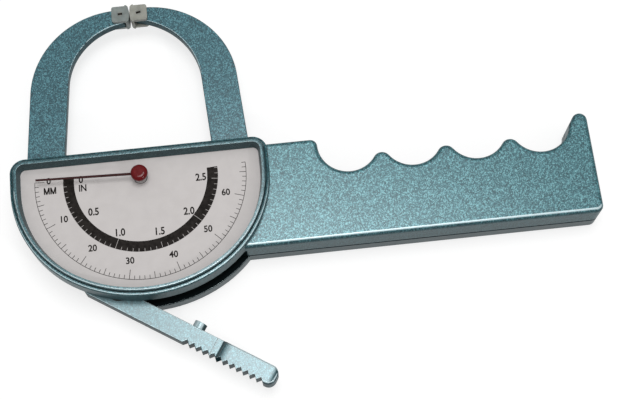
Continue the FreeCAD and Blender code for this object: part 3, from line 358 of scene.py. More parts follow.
def mixed(finish, share, first, second):
    """A value between two others, by the share of the second."""
    return node(finish, "ShaderNodeMix", {"Factor": share, "A": first, "B": second},
                data_type="FLOAT").outputs["Result"]


def blend(finish, share, mask, first, second):
    """First tone, going over to the second by a share of the mask."""
    return node(finish, "ShaderNodeMix",
                {"Factor": times(finish, mask, share), 6: first, 7: second},
                data_type="RGBA").outputs[2]


def part_of(finish, vector, letter):
    """One coordinate of a place or a direction: X, Y or Z."""
    return node(finish, "ShaderNodeSeparateXYZ", {0: vector}).outputs[letter]


print("mask tools ready")

# %% [markdown]
# ## Painted shade in the slot, a dark line on the seam
# The slot between the two halves of the head gets painted shade, and the seam between the halves
# of the handle a dark line. A mask could be painted by hand, but it would be lost when a size
# changes. Here a place lies in the slot when it is at the slot's level and inside two circles that
# follow the head's outline.

# %% Slot shade and seam line
# Tone of the painted shade in the slot, also used for the dark seam line.
slot_shade_and_seam_tone = (0.006, 0.010, 0.011, 1)
seam_level, seam_half = 5.8 * MM, 0.40 * MM
slot_level, slot_half = 8.55 * MM, 2.8 * MM
lower_arc_centre, lower_arc_radius = (0.0, 4.95 * MM, 0.0), 46.0 * MM
side_arc_centre, side_arc_radius = (4.1 * MM, -1.45 * MM, 0.0), 38.4 * MM


def inside_circle(finish, where, centre, radius):
    """1 inside an upright cylinder, 0 outside."""
    flat = node(finish, "ShaderNodeVectorMath", {0: where, 1: (1, 1, 0)}, operation="MULTIPLY")
    away = node(finish, "ShaderNodeVectorMath", {0: flat.outputs[0], 1: centre},
                operation="DISTANCE")
    return maths(finish, "LESS_THAN", away.outputs["Value"], radius)


def at_level(finish, where, level, half_height):
    """1 near a level above the back, 0 elsewhere."""
    return maths(finish, "COMPARE", part_of(finish, where, "Z"), level, half_height)


def slot_shade_and_seam(paint, where):
    """1 in the slot between the halves, for painted shade, and in the line of the seam, 0
    elsewhere.
    """
    head = times(paint, inside_circle(paint, where, lower_arc_centre, lower_arc_radius),
                 inside_circle(paint, where, side_arc_centre, side_arc_radius))
    slot = times(paint, head, at_level(paint, where, slot_level, slot_half))
    seam = times(paint, rest(paint, head), at_level(paint, where, seam_level, seam_half))
    return maths(paint, "MAXIMUM", slot, seam)


print("seam at", round(seam_level / MM, 1), "mm, slot at", round(slot_level / MM, 2), "mm")

# %% [markdown]
# ## Flats, edges and the rim's joint
# Flat faces keep a thick glossy coat and side walls a thin one. The edges on the lower side get a
# painted highlight, on the lever also those of the upper side, and painted shade lies in the joint
# round the dial's rim, more on its upper side. The first masks come from the direction of the
# surface. The joint is found by how sheltered each place is from the open room.

# %% Flats, edges and the rim's joint
flat_from, flat_to = 0.5, 0.95
# Bounds of the painted highlight on the edges that round off to the lower side.
lower_start, lower_full = -0.04, -0.12
lower_last, lower_end = -0.36, -0.52
lower_up_from, lower_up_to = 0.75, 0.88
# Bounds of the painted highlight on the lever's upper edges.
far_start, far_full = 0.05, 0.14
far_up_from, far_up_to = 0.2, 0.5
# Reach and bounds of the painted shade in the rim's joint.
crevice_reach = 2.0 * MM
crevice_up_from, crevice_up_to = 0.6, 0.95
open_place, deep_place = 0.985, 0.88
rim_level, rim_half = 17.6 * MM, 0.7 * MM
rim_unshaded, rim_shaded, rim_least = -32.0 * MM, -8.0 * MM, 0.4


def facing(paint):
    """Direction that the surface faces, before any relief."""
    return node(paint, "ShaderNodeNewGeometry").outputs["Normal"]


def facing_up(paint):
    """1 on flat faces, front or back, 0 on side walls, with a smooth change on rounded edges."""
    upright = maths(paint, "ABSOLUTE", part_of(paint, facing(paint), "Z"))
    return between(paint, upright, flat_from, flat_to)


def lower_edge_highlight(paint, soft):
    """Painted highlight, 1 on edges just rounding off to the lower side, 0 on flats and walls."""
    side = part_of(paint, soft, "Y")
    far_highlight = times(paint, between(paint, side, lower_start, lower_full),
                   between(paint, side, lower_end, lower_last))
    up = part_of(paint, soft, "Z")
    return times(paint, far_highlight, between(paint, up, lower_up_from, lower_up_to))


def far_edge_highlight(paint, soft):
    """Painted highlight, 1 where an edge rounds off towards the upper side, 0 on flats."""
    return times(paint, between(paint, part_of(paint, soft, "Y"), far_start, far_full),
                 between(paint, part_of(paint, soft, "Z"), far_up_from, far_up_to))


def rim_joint_shade(paint, where):
    """Painted shade: 1 in the rim's joint on its upper side, less on its lower side, 0 in the
    open.
    """
    up = part_of(paint, facing(paint), "Z")
    shelter = node(paint, "ShaderNodeAmbientOcclusion", {"Distance": crevice_reach}, samples=6)
    joint = times(paint, between(paint, up, crevice_up_from, crevice_up_to),
                  between(paint, shelter.outputs["AO"], open_place, deep_place))
    side = part_of(paint, where, "Y")
    return times(paint, joint, between(paint, side, rim_unshaded, rim_shaded, low=rim_least))


print("a joint is felt up to", round(crevice_reach / MM, 1), "mm away")

# %% [markdown]
# ## Painted light and shade on the lever
# The lever's flats get a paler painted sheen, and painted shade lies behind the step of the thumb
# pad and on the rounded tip. The sheen is found by how far down the arm a place lies, and the
# shade by its distance from the pivot of the jaws, measured along the lever.

# %% Painted light and shade on the lever
jaw_pivot = (-10.0 * MM, -36.5 * MM, 0.0)
lever_turn = -33.1
along_lever = (math.cos(deg(lever_turn)), math.sin(deg(lever_turn)), 0.0)
# Where the painted shade at the thumb pad's step and on the tip lies along the lever.
thumb_start, thumb_dark, thumb_fade = 37.6 * MM, 38.9 * MM, 41.2 * MM
lever_tip_from, lever_tip_to = 55.8 * MM, 57.0 * MM
# Where the lever's painted sheen, wall shade and upper edge highlight begin.
down_lever_from, down_lever_to = -27.0 * MM, -35.5 * MM


def down_the_lever(paint, where):
    """0 on the jaw, rising along the arm to 1 on the lever, where the painted sheen lies."""
    return between(paint, part_of(paint, where, "Y"), down_lever_from, down_lever_to)


def along_arm(paint, where):
    """Distance from the jaw pivot along the lever."""
    arm = node(paint, "ShaderNodeVectorMath", {0: where, 1: jaw_pivot}, operation="SUBTRACT")
    return node(paint, "ShaderNodeVectorMath", {0: arm.outputs[0], 1: along_lever},
                operation="DOT_PRODUCT").outputs["Value"]


def lever_step_and_tip_shade(paint, along, flat):
    """Painted shade: 1 at the thumb pad's step and on top of the lever's tip, fading out on the
    lever.
    """
    on_pad = maths(paint, "GREATER_THAN", along, thumb_start)
    step = times(paint, on_pad, between(paint, along, thumb_fade, thumb_dark))
    tip = times(paint, between(paint, along, lever_tip_from, lever_tip_to), flat)
    return maths(paint, "MAXIMUM", step, tip)


print("lever runs to", lever_tip_to / MM, "mm from the jaw pivot")

# %% [markdown]
# ## Flakes in the paint
# The castings wear a fine hammered paint: a teal ground full of small flakes, each about a third
# of a millimetre, that catch the light one by one. Noise alone gives soft clouds and no separate
# flakes. So cells of a Voronoi texture give every flake its own shade, a finer noise breaks the
# cells up, and a wide soft noise makes the whole a bit uneven.

# %% Flakes
flake_size = 0.31 * MM
mottle_size = 2.5 * MM
grain_finer, grain_share = 1.6, 0.45
mottle_share = 0.1
flake_stops = (0.34, 0.48, 0.53, 0.68)


def speckle(paint, where, dark, ground, bright):
    """Tone of the flakes, with the value behind it and the wide soft noise."""
    flakes = node(paint, "ShaderNodeTexVoronoi", {"Vector": where, "Scale": 1 / flake_size})
    grain = noise(paint, where, grain_finer / flake_size)
    mottle = noise(paint, where, 1 / mottle_size)
    cells = mixed(paint, grain_share, flakes.outputs["Color"], grain)
    patchy = mixed(paint, mottle_share, cells, mottle)
    tone = ramp(paint, patchy, list(zip(flake_stops, (dark, ground, ground, bright))))
    return tone, patchy, mottle


print("about", round(1 / (flake_size / MM) ** 2), "flakes on a square millimetre")

# %% [markdown]
# ## Painted light and shade
# Two helpers lay the masks over the paint one after the other. The lever gets a paler painted
# sheen, painted shade on its walls and serrations, painted highlights on its upper edges and
# painted shade at the step and tip. The castings get rear walls painted lighter, painted shade in
# the joint round the rim and in the slot, and a dark line on the seam. The shade at rim, slot,
# step and tip and the seam lose the clear coat too, or they would shine like paint.

# %% Painted light and shade
# Shares and tones of the painted light and shade: walls, lever sheen, shade and highlights.
wall_tone_share = 0.65
pale_from, pale_to, rear_wall_light = 5.4 * MM, 5.1 * MM, (0.115, 0.125, 0.13, 1)
plain_shine, dull_side = 0.5, 0.12
sheen_most, sheen_tone = 0.33, (0.36, 0.47, 0.49, 1)
shade_share, wall_shade_share, shade_tone = 0.84, 0.75, (0.006, 0.018, 0.022, 1)
highlight_share, highlight_tone = 0.75, (0.72, 0.88, 0.92, 1)


def paint_lever_shading(paint, where, flat, soft, tone, clear):
    """Paints light and shade of the lever into the tone, the shine and the clear coat."""
    wall = rest(paint, flat)
    down_lever = down_the_lever(paint, where)
    along = along_arm(paint, where)
    # Painted sheen: the flats of the lever are painted paler than those of the jaws.
    tone = blend(paint, sheen_most, times(paint, down_lever, flat), tone, sheen_tone)
    # Painted shade on the lever's side walls and serrations, up to the tip.
    lever_wall_shade = times(paint, down_lever, between(paint, along, lever_tip_to, lever_tip_from))
    tone = blend(paint, wall_shade_share, times(paint, lever_wall_shade, wall), tone, shade_tone)
    # Painted highlight on the lever's upper edges.
    far_highlight = times(paint, down_lever, far_edge_highlight(paint, soft))
    tone = blend(paint, highlight_share, far_highlight, tone, highlight_tone)
    # Painted shade at the step of the thumb pad and on the lever's tip, which also loses its coat.
    painted_shade = lever_step_and_tip_shade(paint, along, flat)
    tone = blend(paint, shade_share, painted_shade, tone, shade_tone)
    unshaded = rest(paint, painted_shade)
    shine = scaled(paint, flat, dull_side, plain_shine)
    feed(paint, "Specular IOR Level", times(paint, shine, unshaded))
    return tone, times(paint, clear, unshaded)


def paint_casting_shading(paint, where, flat, tone, clear):
    """Paints lighter rear walls, shade in the rim's joint and in the slot, and the dark seam line.
    """
    # Painted light: the walls of the rear half are lighter than those of the front half.
    low = between(paint, part_of(paint, where, "Z"), pale_from, pale_to)
    rear = times(paint, rest(paint, flat), low)
    tone = blend(paint, wall_tone_share, rear, tone, rear_wall_light)
    # Painted shade in the joint round the dial's rim, from how sheltered each place is.
    painted_shade = times(paint, rim_joint_shade(paint, where), at_level(paint, where, rim_level, rim_half))
    tone = blend(paint, shade_share, painted_shade, tone, shade_tone)
    # Painted shade in the slot and a dark line on the seam, both without clear coat.
    slot_and_seam = slot_shade_and_seam(paint, where)
    tone = blend(paint, 1.0, slot_and_seam, tone, slot_shade_and_seam_tone)
    open_surface = rest(paint, slot_and_seam)
    feed(paint, "Specular IOR Level", times(paint, open_surface, plain_shine))
    return tone, times(paint, times(paint, clear, rest(paint, painted_shade)), open_surface)


print("marks ready")

# %% [markdown]
# ## Speckled metallic paint
# The flakes lift the surface a hundredth of a millimetre, and sharp corners are softened with a
# bevelled normal, as thick paint softens them. The side walls are painted greyer and darker, as
# painted shade, and their thin coat leaves them hardly glossy. Castings, jaws and rim each have
# their own teal; the jaws' is darker, as painted shade for the lamp light they don't mirror.

# %% Flake paint
flake_height, flake_strength = 0.012 * MM, 0.7
paint_edge = 0.25 * MM
paint_metal, paint_rough, paint_uneven = 0.3, 0.34, 0.06
flop_tint = (0.30, 0.40, 0.42, 1)
coat_on_flats, coat_on_walls = 0.50, 0.06
# Tone of the painted shade on the side walls.
wall_shade_tone = (0.045, 0.056, 0.059, 1)


def flake_paint(name, dark, ground, bright, hollow=False, wear_and_painted_light=False):
    """Metallic paint with flakes from dark to bright, with painted light and shade on castings or
    lever.
    """
    paint = start_finish(name, ground, Metallic=paint_metal, IOR=1.35, Specular_Tint=flop_tint,
                         Coat_IOR=1.9, Coat_Roughness=0.26)
    where = in_place(paint)
    flat = facing_up(paint)
    soft = node(paint, "ShaderNodeBevel", {"Radius": paint_edge}, samples=4).outputs["Normal"]
    tone, patchy, mottle = speckle(paint, where, dark, ground, bright)
    # Painted shade: side walls greyer and darker than the flats.
    tone = blend(paint, wall_tone_share, rest(paint, flat), tone, wall_shade_tone)
    clear = scaled(paint, flat, coat_on_walls, coat_on_flats)
    if wear_and_painted_light:
        tone, clear = paint_lever_shading(paint, where, flat, soft, tone, clear)
    if hollow:
        tone, clear = paint_casting_shading(paint, where, flat, tone, clear)
    # Painted highlight along the edges that round off towards the lower side.
    tone = blend(paint, highlight_share, lower_edge_highlight(paint, soft), tone, highlight_tone)
    feed(paint, "Base Color", tone)
    feed(paint, "Coat Weight", clear)
    feed(paint, "Roughness",
         scaled(paint, mottle, paint_rough - paint_uneven, paint_rough + paint_uneven))
    relief(paint, patchy, flake_height, flake_strength, Normal=soft)
    return paint


teal = flake_paint("hammered_teal", dark=(0.010, 0.054, 0.068), ground=(0.030, 0.130, 0.156),
                   bright=(0.155, 0.39, 0.43), hollow=True)
# Painted shade: the jaws' teal is darker than the castings', for the lamp light they don't mirror.
jaw_teal = flake_paint("jaw_teal", dark=(0.008, 0.044, 0.058), ground=(0.022, 0.104, 0.134),
                       bright=(0.110, 0.30, 0.35), wear_and_painted_light=True)
rim_teal = flake_paint("rim_teal", dark=(0.018, 0.060, 0.072), ground=(0.040, 0.115, 0.135),
                       bright=(0.11, 0.25, 0.28))
print("paints:", teal.name, jaw_teal.name, rim_teal.name)

# %% [markdown]
# ## Plain metals
# Screws, posts and the spring are plain steel, and the gears and the pivot's bush are brass. Both
# get a fine noise in colour and roughness, and the faint rings that turning leaves. Real grooves
# this shallow would cost many faces for nothing that shows, so the rings only tilt the light.

# %% Turned metals
metal_cloud, metal_detail, metal_uneven = 700.0, 4.0, 0.1
mark_scale, mark_bend, mark_depth, mark_strength = 900.0, 3.0, 0.004 * MM, 0.5


def turned_metal(name, colour, wear_and_painted_light, rough):
    """Machined metal with fine uneven tone and tool marks."""
    metal = start_finish(name, colour, Metallic=1.0)
    where = in_place(metal)
    cloud = noise(metal, where, metal_cloud, metal_detail)
    feed(metal, "Base Color", ramp(metal, cloud, [(0.3, wear_and_painted_light), (0.7, colour)]))
    feed(metal, "Roughness", scaled(metal, cloud, rough - metal_uneven, rough + metal_uneven))
    marks = node(metal, "ShaderNodeTexWave",
                 {"Vector": where, "Scale": mark_scale, "Distortion": mark_bend},
                 wave_type="RINGS", rings_direction="Z")
    relief(metal, marks.outputs["Fac"], mark_depth, mark_strength)
    return metal


steel = turned_metal("plain_steel", (0.58, 0.58, 0.59), (0.40, 0.40, 0.42), 0.34)
brass = turned_metal("brass", (0.74, 0.56, 0.27), (0.55, 0.38, 0.16), 0.32)
dark_steel = turned_metal("dark_pin", (0.06, 0.06, 0.055), (0.03, 0.03, 0.03), 0.42)
print("metals:", steel.name, brass.name, dark_steel.name)

# %% [markdown]
# ## Dial plate, ink and pointer
# The plate is sheet metal under a matt off-white print base: almost even, with a faint grey cloud
# and the fine tooth of screen print. The ink is a soft black that isn't quite even either. The
# pointer is sprayed dark red, and its cap is a brighter red, glossier.

# %% Printed and sprayed finishes
spray_detail, spray_uneven = 3.0, 0.05
tooth_scale, tooth_depth, tooth_strength = 4000.0, 0.003 * MM, 0.5


def sprayed(name, colour, patch, rough, cloud_scale=260.0, **sockets):
    """Paint or ink with a faint cloud in its colour and a fine tooth."""
    coat = start_finish(name, colour, **sockets)
    where = in_place(coat)
    cloud = noise(coat, where, cloud_scale, spray_detail)
    feed(coat, "Base Color", ramp(coat, cloud, [(0.35, patch), (0.65, colour)]))
    feed(coat, "Roughness", scaled(coat, cloud, rough - spray_uneven, rough + spray_uneven))
    relief(coat, noise(coat, where, tooth_scale), tooth_depth, tooth_strength)
    return coat


dial_white = sprayed("dial_white", (0.60, 0.57, 0.56), (0.57, 0.54, 0.53), 0.55)
black_ink = sprayed("black_ink", (0.010, 0.008, 0.007), (0.024, 0.020, 0.018), 0.7,
                    cloud_scale=900.0, Specular_IOR_Level=0.12)
white_ink = sprayed("white_ink", (0.42, 0.39, 0.38), (0.33, 0.31, 0.30), 0.6)
pointer_red = sprayed("pointer_red", (0.040, 0.006, 0.006), (0.028, 0.005, 0.005), 0.45,
                      cloud_scale=700.0, Specular_IOR_Level=0.15)
cap_red = sprayed("cap_red", (0.145, 0.002, 0.004), (0.115, 0.002, 0.003), 0.10,
                  cloud_scale=500.0, Specular_IOR_Level=0.32)
print("dial finishes:", dial_white.name, black_ink.name, pointer_red.name, cap_red.name)

# %% [markdown]
# ## Translucent pads
# The pads are natural moulded plastic, milky and a little yellowed, and light goes a millimetre
# into them, which softens their edges. Subsurface scattering gives that without true transparency.
# The left pad lies over its arm and looks darker for that, and the pins are of the same plastic.

# %% Pad plastic
pad_look = {"cloud_scale": 420.0, "Subsurface_Weight": 0.35, "Subsurface_Scale": 0.8 * MM,
            "Subsurface_Radius": (1.0, 0.9, 0.7)}
pad_milky = sprayed("pad_translucent", (0.33, 0.335, 0.295), (0.25, 0.255, 0.225), 0.38,
                    **pad_look)
pad_shaded = sprayed("pad_over_arm", (0.25, 0.285, 0.275), (0.18, 0.21, 0.20), 0.38, **pad_look)
pin_plastic = sprayed("pad_pin", (0.28, 0.29, 0.255), (0.22, 0.23, 0.20), 0.42, **pad_look)
print("pad plastic:", pad_milky.name, pad_shaded.name, pin_plastic.name)

# %% [markdown]
# ## Dressing the solids
# The record sorts the nodes by material slot. Each slot gets its finish here, and the few nodes
# that are finished in another way than their slot says are named one by one after it. The
# pointer's shaft and bush get the plate's off-white, a painted light that lifts the shade under
# the cap, so that no dark collar shows there.

# %% Finishes on the nodes
finish_of_slot = {"hammered_teal": teal, "jaw_teal": jaw_teal, "dial_white": dial_white,
                  "pointer_red": pointer_red, "pad_translucent": pad_milky,
                  "plain_steel": steel, "brass": brass}
finish_of_node = {"dial_bezel": rim_teal, "pointer_hub_cap": cap_red,
                  "pointer_shaft": dial_white, "pointer_bush": dial_white,
                  "pivot_washers": dark_steel, "left_pad": pad_shaded,
                  "left_pad_pin": pin_plastic, "right_pad_pin": pin_plastic}
slot_of = {part["node"]: part["material_slot"] for part in frame["record"]["subparts"]}

for name, solid in NODES.items():
    finish = finish_of_node.get(name, finish_of_slot[slot_of[name]])
    for place in solid.material_slots:
        place.material = finish
print("dressed", len(NODES), "nodes")

# %% [markdown]
# ## Print as thin slabs
# All print is made of real thin slabs: a flat outline raised to the height of the ink and closed
# on every side, so it survives as a mesh without any picture. A short bar makes a tick, and a
# curved band is cut into cells that each are one slab.

# %% Slabs, bars and bands
ink_height = 0.03 * MM
band_cells = 96


def add_slab(mesh, outline, low, high):
    """Adds a closed slab with a flat outline, from one height to another."""
    under = [mesh.verts.new((x, y, low)) for x, y in outline]
    over = [mesh.verts.new((x, y, high)) for x, y in outline]
    mesh.faces.new(over)
    mesh.faces.new(under[::-1])
    for index in range(len(outline)):
        after = (index + 1) % len(outline)
        mesh.faces.new((under[index], under[after], over[after], over[index]))


def make_piece(name, mesh, finish):
    """A mesh object from a bmesh, with its finish, linked to the scene."""
    data = bpy.data.meshes.new(name)
    mesh.to_mesh(data)
    mesh.free()
    data.materials.append(finish)
    piece = bpy.data.objects.new(name, data)
    bpy.context.scene.collection.objects.link(piece)
    return piece


def bar(radius_in, radius_out, angle, width, centre):
    """Outline of a short bar that points at the centre."""
    along = Vector((math.cos(deg(angle)), math.sin(deg(angle))))
    across = Vector((-along.y, along.x)) * width / 2
    inner, outer = centre + along * radius_in, centre + along * radius_out
    return [inner - across, outer - across, outer + across, inner + across]


def band(radius_in, radius_out, start, end, centre):
    """Outlines of the cells of a curved band, one after the other."""
    turns = [start + (end - start) * index / band_cells for index in range(band_cells + 1)]

    def at(radius, turn):
        return centre + Vector((math.cos(deg(turn)), math.sin(deg(turn)))) * radius

    return [[at(radius_in, a), at(radius_out, a), at(radius_out, b), at(radius_in, b)]
            for a, b in zip(turns, turns[1:])]


print("ink stands", round(ink_height / MM, 3), "mm proud")

# %% [markdown]
# ## The millimetre scale
# One thin arc with a tick for each millimetre on its inner side, longer at the fives and tens. The
# pointer turns about 2.78 degrees for each millimetre between the pads, so the ticks are spaced by
# that one angle and not by eye.

# %% Millimetre scale
print_centre = Vector((0.0, -0.2)) * MM
zero_angle = 176.9
degrees_per_mm = 2.777
scale_end = 67
end_angle = zero_angle + scale_end * degrees_per_mm
arc_radius = 34.4 * MM
line_width = 0.17 * MM
tick_lengths = {1: 1.3 * MM, 5: 2.2 * MM, 10: 3.2 * MM}
plate_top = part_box("dial_plate")[1].z

scale_mesh = bmesh.new()
for cell in band(arc_radius - line_width / 2, arc_radius + line_width / 2, zero_angle, end_angle,
                 print_centre):
    add_slab(scale_mesh, cell, plate_top, plate_top + ink_height)
for step in range(scale_end + 1):
    length = tick_lengths[10 if step % 10 == 0 else 5 if step % 5 == 0 else 1]
    tick = bar(arc_radius - length, arc_radius, zero_angle + step * degrees_per_mm, line_width,
               print_centre)
    add_slab(scale_mesh, tick, plate_top, plate_top + ink_height)
millimetre_scale = make_piece("millimetre_scale", scale_mesh, black_ink)
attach(millimetre_scale, "frame")
print("scale with", scale_end + 1, "ticks")

# %% [markdown]
# ## The inch band
# Inside the millimetre scale runs a solid black band with the inch ticks left white in it, from
# its outer edge: sixteenths short, halves longer and whole inches right across. It starts a little
# before the zero. The ticks could be gaps cut out of the band, but white slabs laid on it need no
# cutting and look the same.

# %% Inch band
band_inner, band_outer = 21.7 * MM, 25.2 * MM
band_lead = 2.0
inch = 25.4
sixteenth = degrees_per_mm * inch / 16
white_width = 0.16 * MM
white_lengths = {1: 1.1 * MM, 8: 2.1 * MM, 16: band_outer - band_inner}

band_mesh = bmesh.new()
for cell in band(band_inner, band_outer, zero_angle - band_lead, end_angle, print_centre):
    add_slab(band_mesh, cell, plate_top, plate_top + ink_height)
inch_band = make_piece("inch_band", band_mesh, black_ink)
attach(inch_band, "frame")

white_mesh = bmesh.new()
sixteenths = int((end_angle - zero_angle) / sixteenth)
for step in range(1, sixteenths + 1):
    length = white_lengths[16 if step % 16 == 0 else 8 if step % 8 == 0 else 1]
    tick = bar(band_outer - length, band_outer, zero_angle + step * sixteenth, white_width,
               print_centre)
    add_slab(white_mesh, tick, plate_top + ink_height, plate_top + 2 * ink_height)
inch_ticks = make_piece("inch_ticks", white_mesh, white_ink)
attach(inch_ticks, "frame")
print("band with", sixteenths, "ticks")

# %% [markdown]
# ## Words and numbers
# The numbers stand upright all the way round. Blender's own plain face is set as text, thickened
# a little, raised to the height of the ink and turned into a mesh. The M of the unit is drawn from
# four straight strokes, because its middle point reaches right down to the line.

# %% Ways to print
unit_height, unit_width = 2.3 * MM, 0.82
digit_share = 0.72
stroke_gain = 0.034
curve_steps = 3
letter_m_width, letter_m_stroke = 1.5, 0.42


def print_word(word, place, height, width):
    """Raised print, centred on a place in millimetres, narrowed or widened by a share."""
    curve = bpy.data.curves.new("word", "FONT")
    curve.body = word
    curve.align_x = "CENTER"
    curve.align_y = "CENTER"
    curve.size = height / digit_share
    curve.offset = stroke_gain * height
    curve.extrude = ink_height / 2
    curve.resolution_u = curve_steps
    holder = bpy.data.objects.new("word", curve)
    bpy.context.scene.collection.objects.link(holder)
    bpy.context.view_layer.update()
    data = bpy.data.meshes.new_from_object(
        holder.evaluated_get(bpy.context.evaluated_depsgraph_get()))
    bpy.data.objects.remove(holder)
    data.transform(Matrix.Translation((place[0] * MM + print_centre.x,
                                       place[1] * MM + print_centre.y,
                                       plate_top + ink_height / 2))
                   @ Matrix.Scale(width, 4, (1, 0, 0)))
    return data


def stroke(start, end, width):
    """Outline of a straight pen stroke, in millimetres from the middle of the print."""
    start, end = (Vector(place) * MM + print_centre for place in (start, end))
    across = (end - start).normalized().orthogonal() * width * MM / 2
    return [start - across, end - across, end + across, start + across]


def add_letter_m(mesh, place):
    """A bold M of four strokes, whose middle point reaches down to the line."""
    half_wide, half_high = letter_m_width / 2, unit_height / MM / 2
    top, foot = place[1] + half_high, place[1] - half_high
    left, right = place[0] - half_wide, place[0] + half_wide
    for start, end in (((left, foot), (left, top)), ((left, top), (place[0], foot)),
                       ((place[0], foot), (right, top)), ((right, top), (right, foot))):
        add_slab(mesh, stroke(start, end, letter_m_stroke), plate_top, plate_top + ink_height)


print("unit letters", round(unit_height / MM, 1), "mm high")

# %% [markdown]
# ## What is printed
# Each word has its place on the plate in millimetres from the middle of the print: a number for
# every ten millimetres, one for every half inch, and the two units under their zeros.

# %% Numbers and units
millimetre_height, millimetre_width = 2.2 * MM, 0.92
inch_height, inch_width = 2.5 * MM, 0.84
millimetre_numbers = [("0", (-29.85, 1.85)), ("10", (-25.6, -11.7)), ("20", (-16.85, -22.4)),
                      ("30", (-5.2, -27.85)), ("40", (8.8, -27.2)), ("50", (20.4, -19.9)),
                      ("60", (27.15, -8.05))]
inch_numbers = [("0", (-19.4, 1.3)), ("0.5", (-15.85, -10.2)), ("1.0", (-7.9, -18.1)),
                ("1.5", (4.85, -19.0)), ("2.0", (14.8, -13.2)), ("2.5", (19.55, -2.0))]
inch_unit = [("IN", (-18.95, -1.7))]
letter_m_places = [(-30.6, -1.45), (-28.5, -1.45)]
same_point = 1e-7

words_mesh = bmesh.new()
for words, height, width in ((millimetre_numbers, millimetre_height, millimetre_width),
                             (inch_numbers, inch_height, inch_width),
                             (inch_unit, unit_height, unit_width)):
    for word, place in words:
        word_mesh = print_word(word, place, height, width)
        words_mesh.from_mesh(word_mesh)
        bpy.data.meshes.remove(word_mesh)
for place in letter_m_places:
    add_letter_m(words_mesh, place)
bmesh.ops.remove_doubles(words_mesh, verts=words_mesh.verts, dist=same_point)
dial_numbers = make_piece("dial_numbers", words_mesh, black_ink)
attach(dial_numbers, "frame")
print(len(millimetre_numbers + inch_numbers), "numbers and two units printed")

# %% [markdown]
# ## Painted shade of the slots in the pad pins
# Each pad's pin has a short slot across its upper end, which leans with its jaw. The solids aren't
# cut here, so the slot's shade is painted: a thin black slab that lies on its pin. One moves with
# the arm, the other stays with the frame.

# %% Painted shade of the pin slots
pin_slot_long, pin_slot_wide = 1.55 * MM, 0.75 * MM
pin_slot_shades = (("left_pad_pin", 2.0, "arm"), ("right_pad_pin", 12.0, "frame"))

for pin_name, turn, body in pin_slot_shades:
    low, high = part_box(pin_name)
    mark = bmesh.new()
    outline = bar(-pin_slot_long / 2, pin_slot_long / 2, turn, pin_slot_wide,
                  ((low + high) / 2).xy)
    add_slab(mark, outline, high.z, high.z + ink_height)
    pin_slot_shade = make_piece(pin_name + "_slot", mark, black_ink)
    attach(pin_slot_shade, body)
    print(pin_slot_shade.name)

# %% [markdown]
# ## Screws with drives
# From behind, seven screw heads sit in their recesses. Each solid screw is replaced by one with a
# chamfered head and a hexagon socket. The socket could be cut out with a boolean, but a stack of
# rings with the same number of points, joined ring by ring, gives cleaner faces. The socket's
# rings are simply hexagonal.

# %% Screw maker
ring_points = 36
chamfer_share = 0.12
socket_share, socket_depth_share = 0.46, 0.6
tip_long_share, tip_share = 0.3, 0.7


def ring(mesh, centre, radius, height, hexagon=False):
    """A ring of points, round or six-sided."""
    made = []
    for index in range(ring_points):
        turn = 2 * math.pi * index / ring_points
        size = radius
        if hexagon:
            corner = math.pi / 3
            size = radius * math.cos(corner / 2) / math.cos(turn % corner - corner / 2)
        made.append(mesh.verts.new((centre.x + size * math.cos(turn),
                                    centre.y + size * math.sin(turn), height)))
    return made


def skin(mesh, rings):
    """Joins a list of rings to a closed tube: walls between them and a cap at both ends."""
    count = len(rings[0])
    for under, over in zip(rings, rings[1:]):
        for index in range(count):
            after = (index + 1) % count
            mesh.faces.new((under[index], under[after], over[after], over[index]))
    mesh.faces.new(rings[0][::-1])
    mesh.faces.new(rings[-1])


def add_screw(mesh, centre, head_radius, shank_radius, low, head_high, tip):
    """A socket screw seen from below: socket floor, socket rim, head, shank and tip."""
    chamfer = chamfer_share * head_radius
    socket = socket_share * head_radius
    floor = low + socket_depth_share * (head_high - low)
    skin(mesh, [
        ring(mesh, centre, socket, floor, hexagon=True),
        ring(mesh, centre, socket, low + chamfer / 4, hexagon=True),
        ring(mesh, centre, socket + chamfer / 2, low),
        ring(mesh, centre, head_radius - chamfer, low),
        ring(mesh, centre, head_radius, low + chamfer),
        ring(mesh, centre, head_radius, head_high),
        ring(mesh, centre, shank_radius, head_high),
        ring(mesh, centre, shank_radius, tip - tip_long_share * shank_radius),
        ring(mesh, centre, tip_share * shank_radius, tip)])


print("each ring of a screw has", ring_points, "points")

# %% [markdown]
# ## Where the screws go
# Each screw node knows its own places: its mesh falls apart into one island per screw. The box of
# an island gives the centre and the head's radius, so nothing is typed twice.

# %% Screws in their places
welded = 1e-6


def islands(solid):
    """Boxes of the loose parts of a mesh, as (lowest corner, highest corner)."""
    mesh = bmesh.new()
    mesh.from_mesh(solid.data)
    bmesh.ops.remove_doubles(mesh, verts=mesh.verts, dist=welded)
    seen, boxes = set(), []
    for start in mesh.verts:
        if start in seen:
            continue
        seen.add(start)
        waiting, corners = [start], []
        while waiting:
            point = waiting.pop()
            corners.append(point.co.copy())
            for edge in point.link_edges:
                other = edge.other_vert(point)
                if other not in seen:
                    seen.add(other)
                    waiting.append(other)
        boxes.append(tuple(Vector([pick(c[axis] for c in corners) for axis in range(3)])
                           for pick in (min, max)))
    mesh.free()
    return boxes


head_thick = 1.1 * MM
shank_share = {"frame_screws": 0.55, "fixed_jaw_screws": 0.55, "handle_screws": 0.54,
               "jaw_pivot_screw": 0.75}
for name, share in shank_share.items():
    screws = bmesh.new()
    found = islands(NODES[name])
    for low, high in found:
        radius = (high.x - low.x) / 2
        add_screw(screws, (low + high) / 2, radius, share * radius, low.z,
                  low.z + head_thick, high.z)
    driven = make_piece(name + "_driven", screws, steel)
    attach(driven, "frame")
    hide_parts(name)
    print(name, len(found))

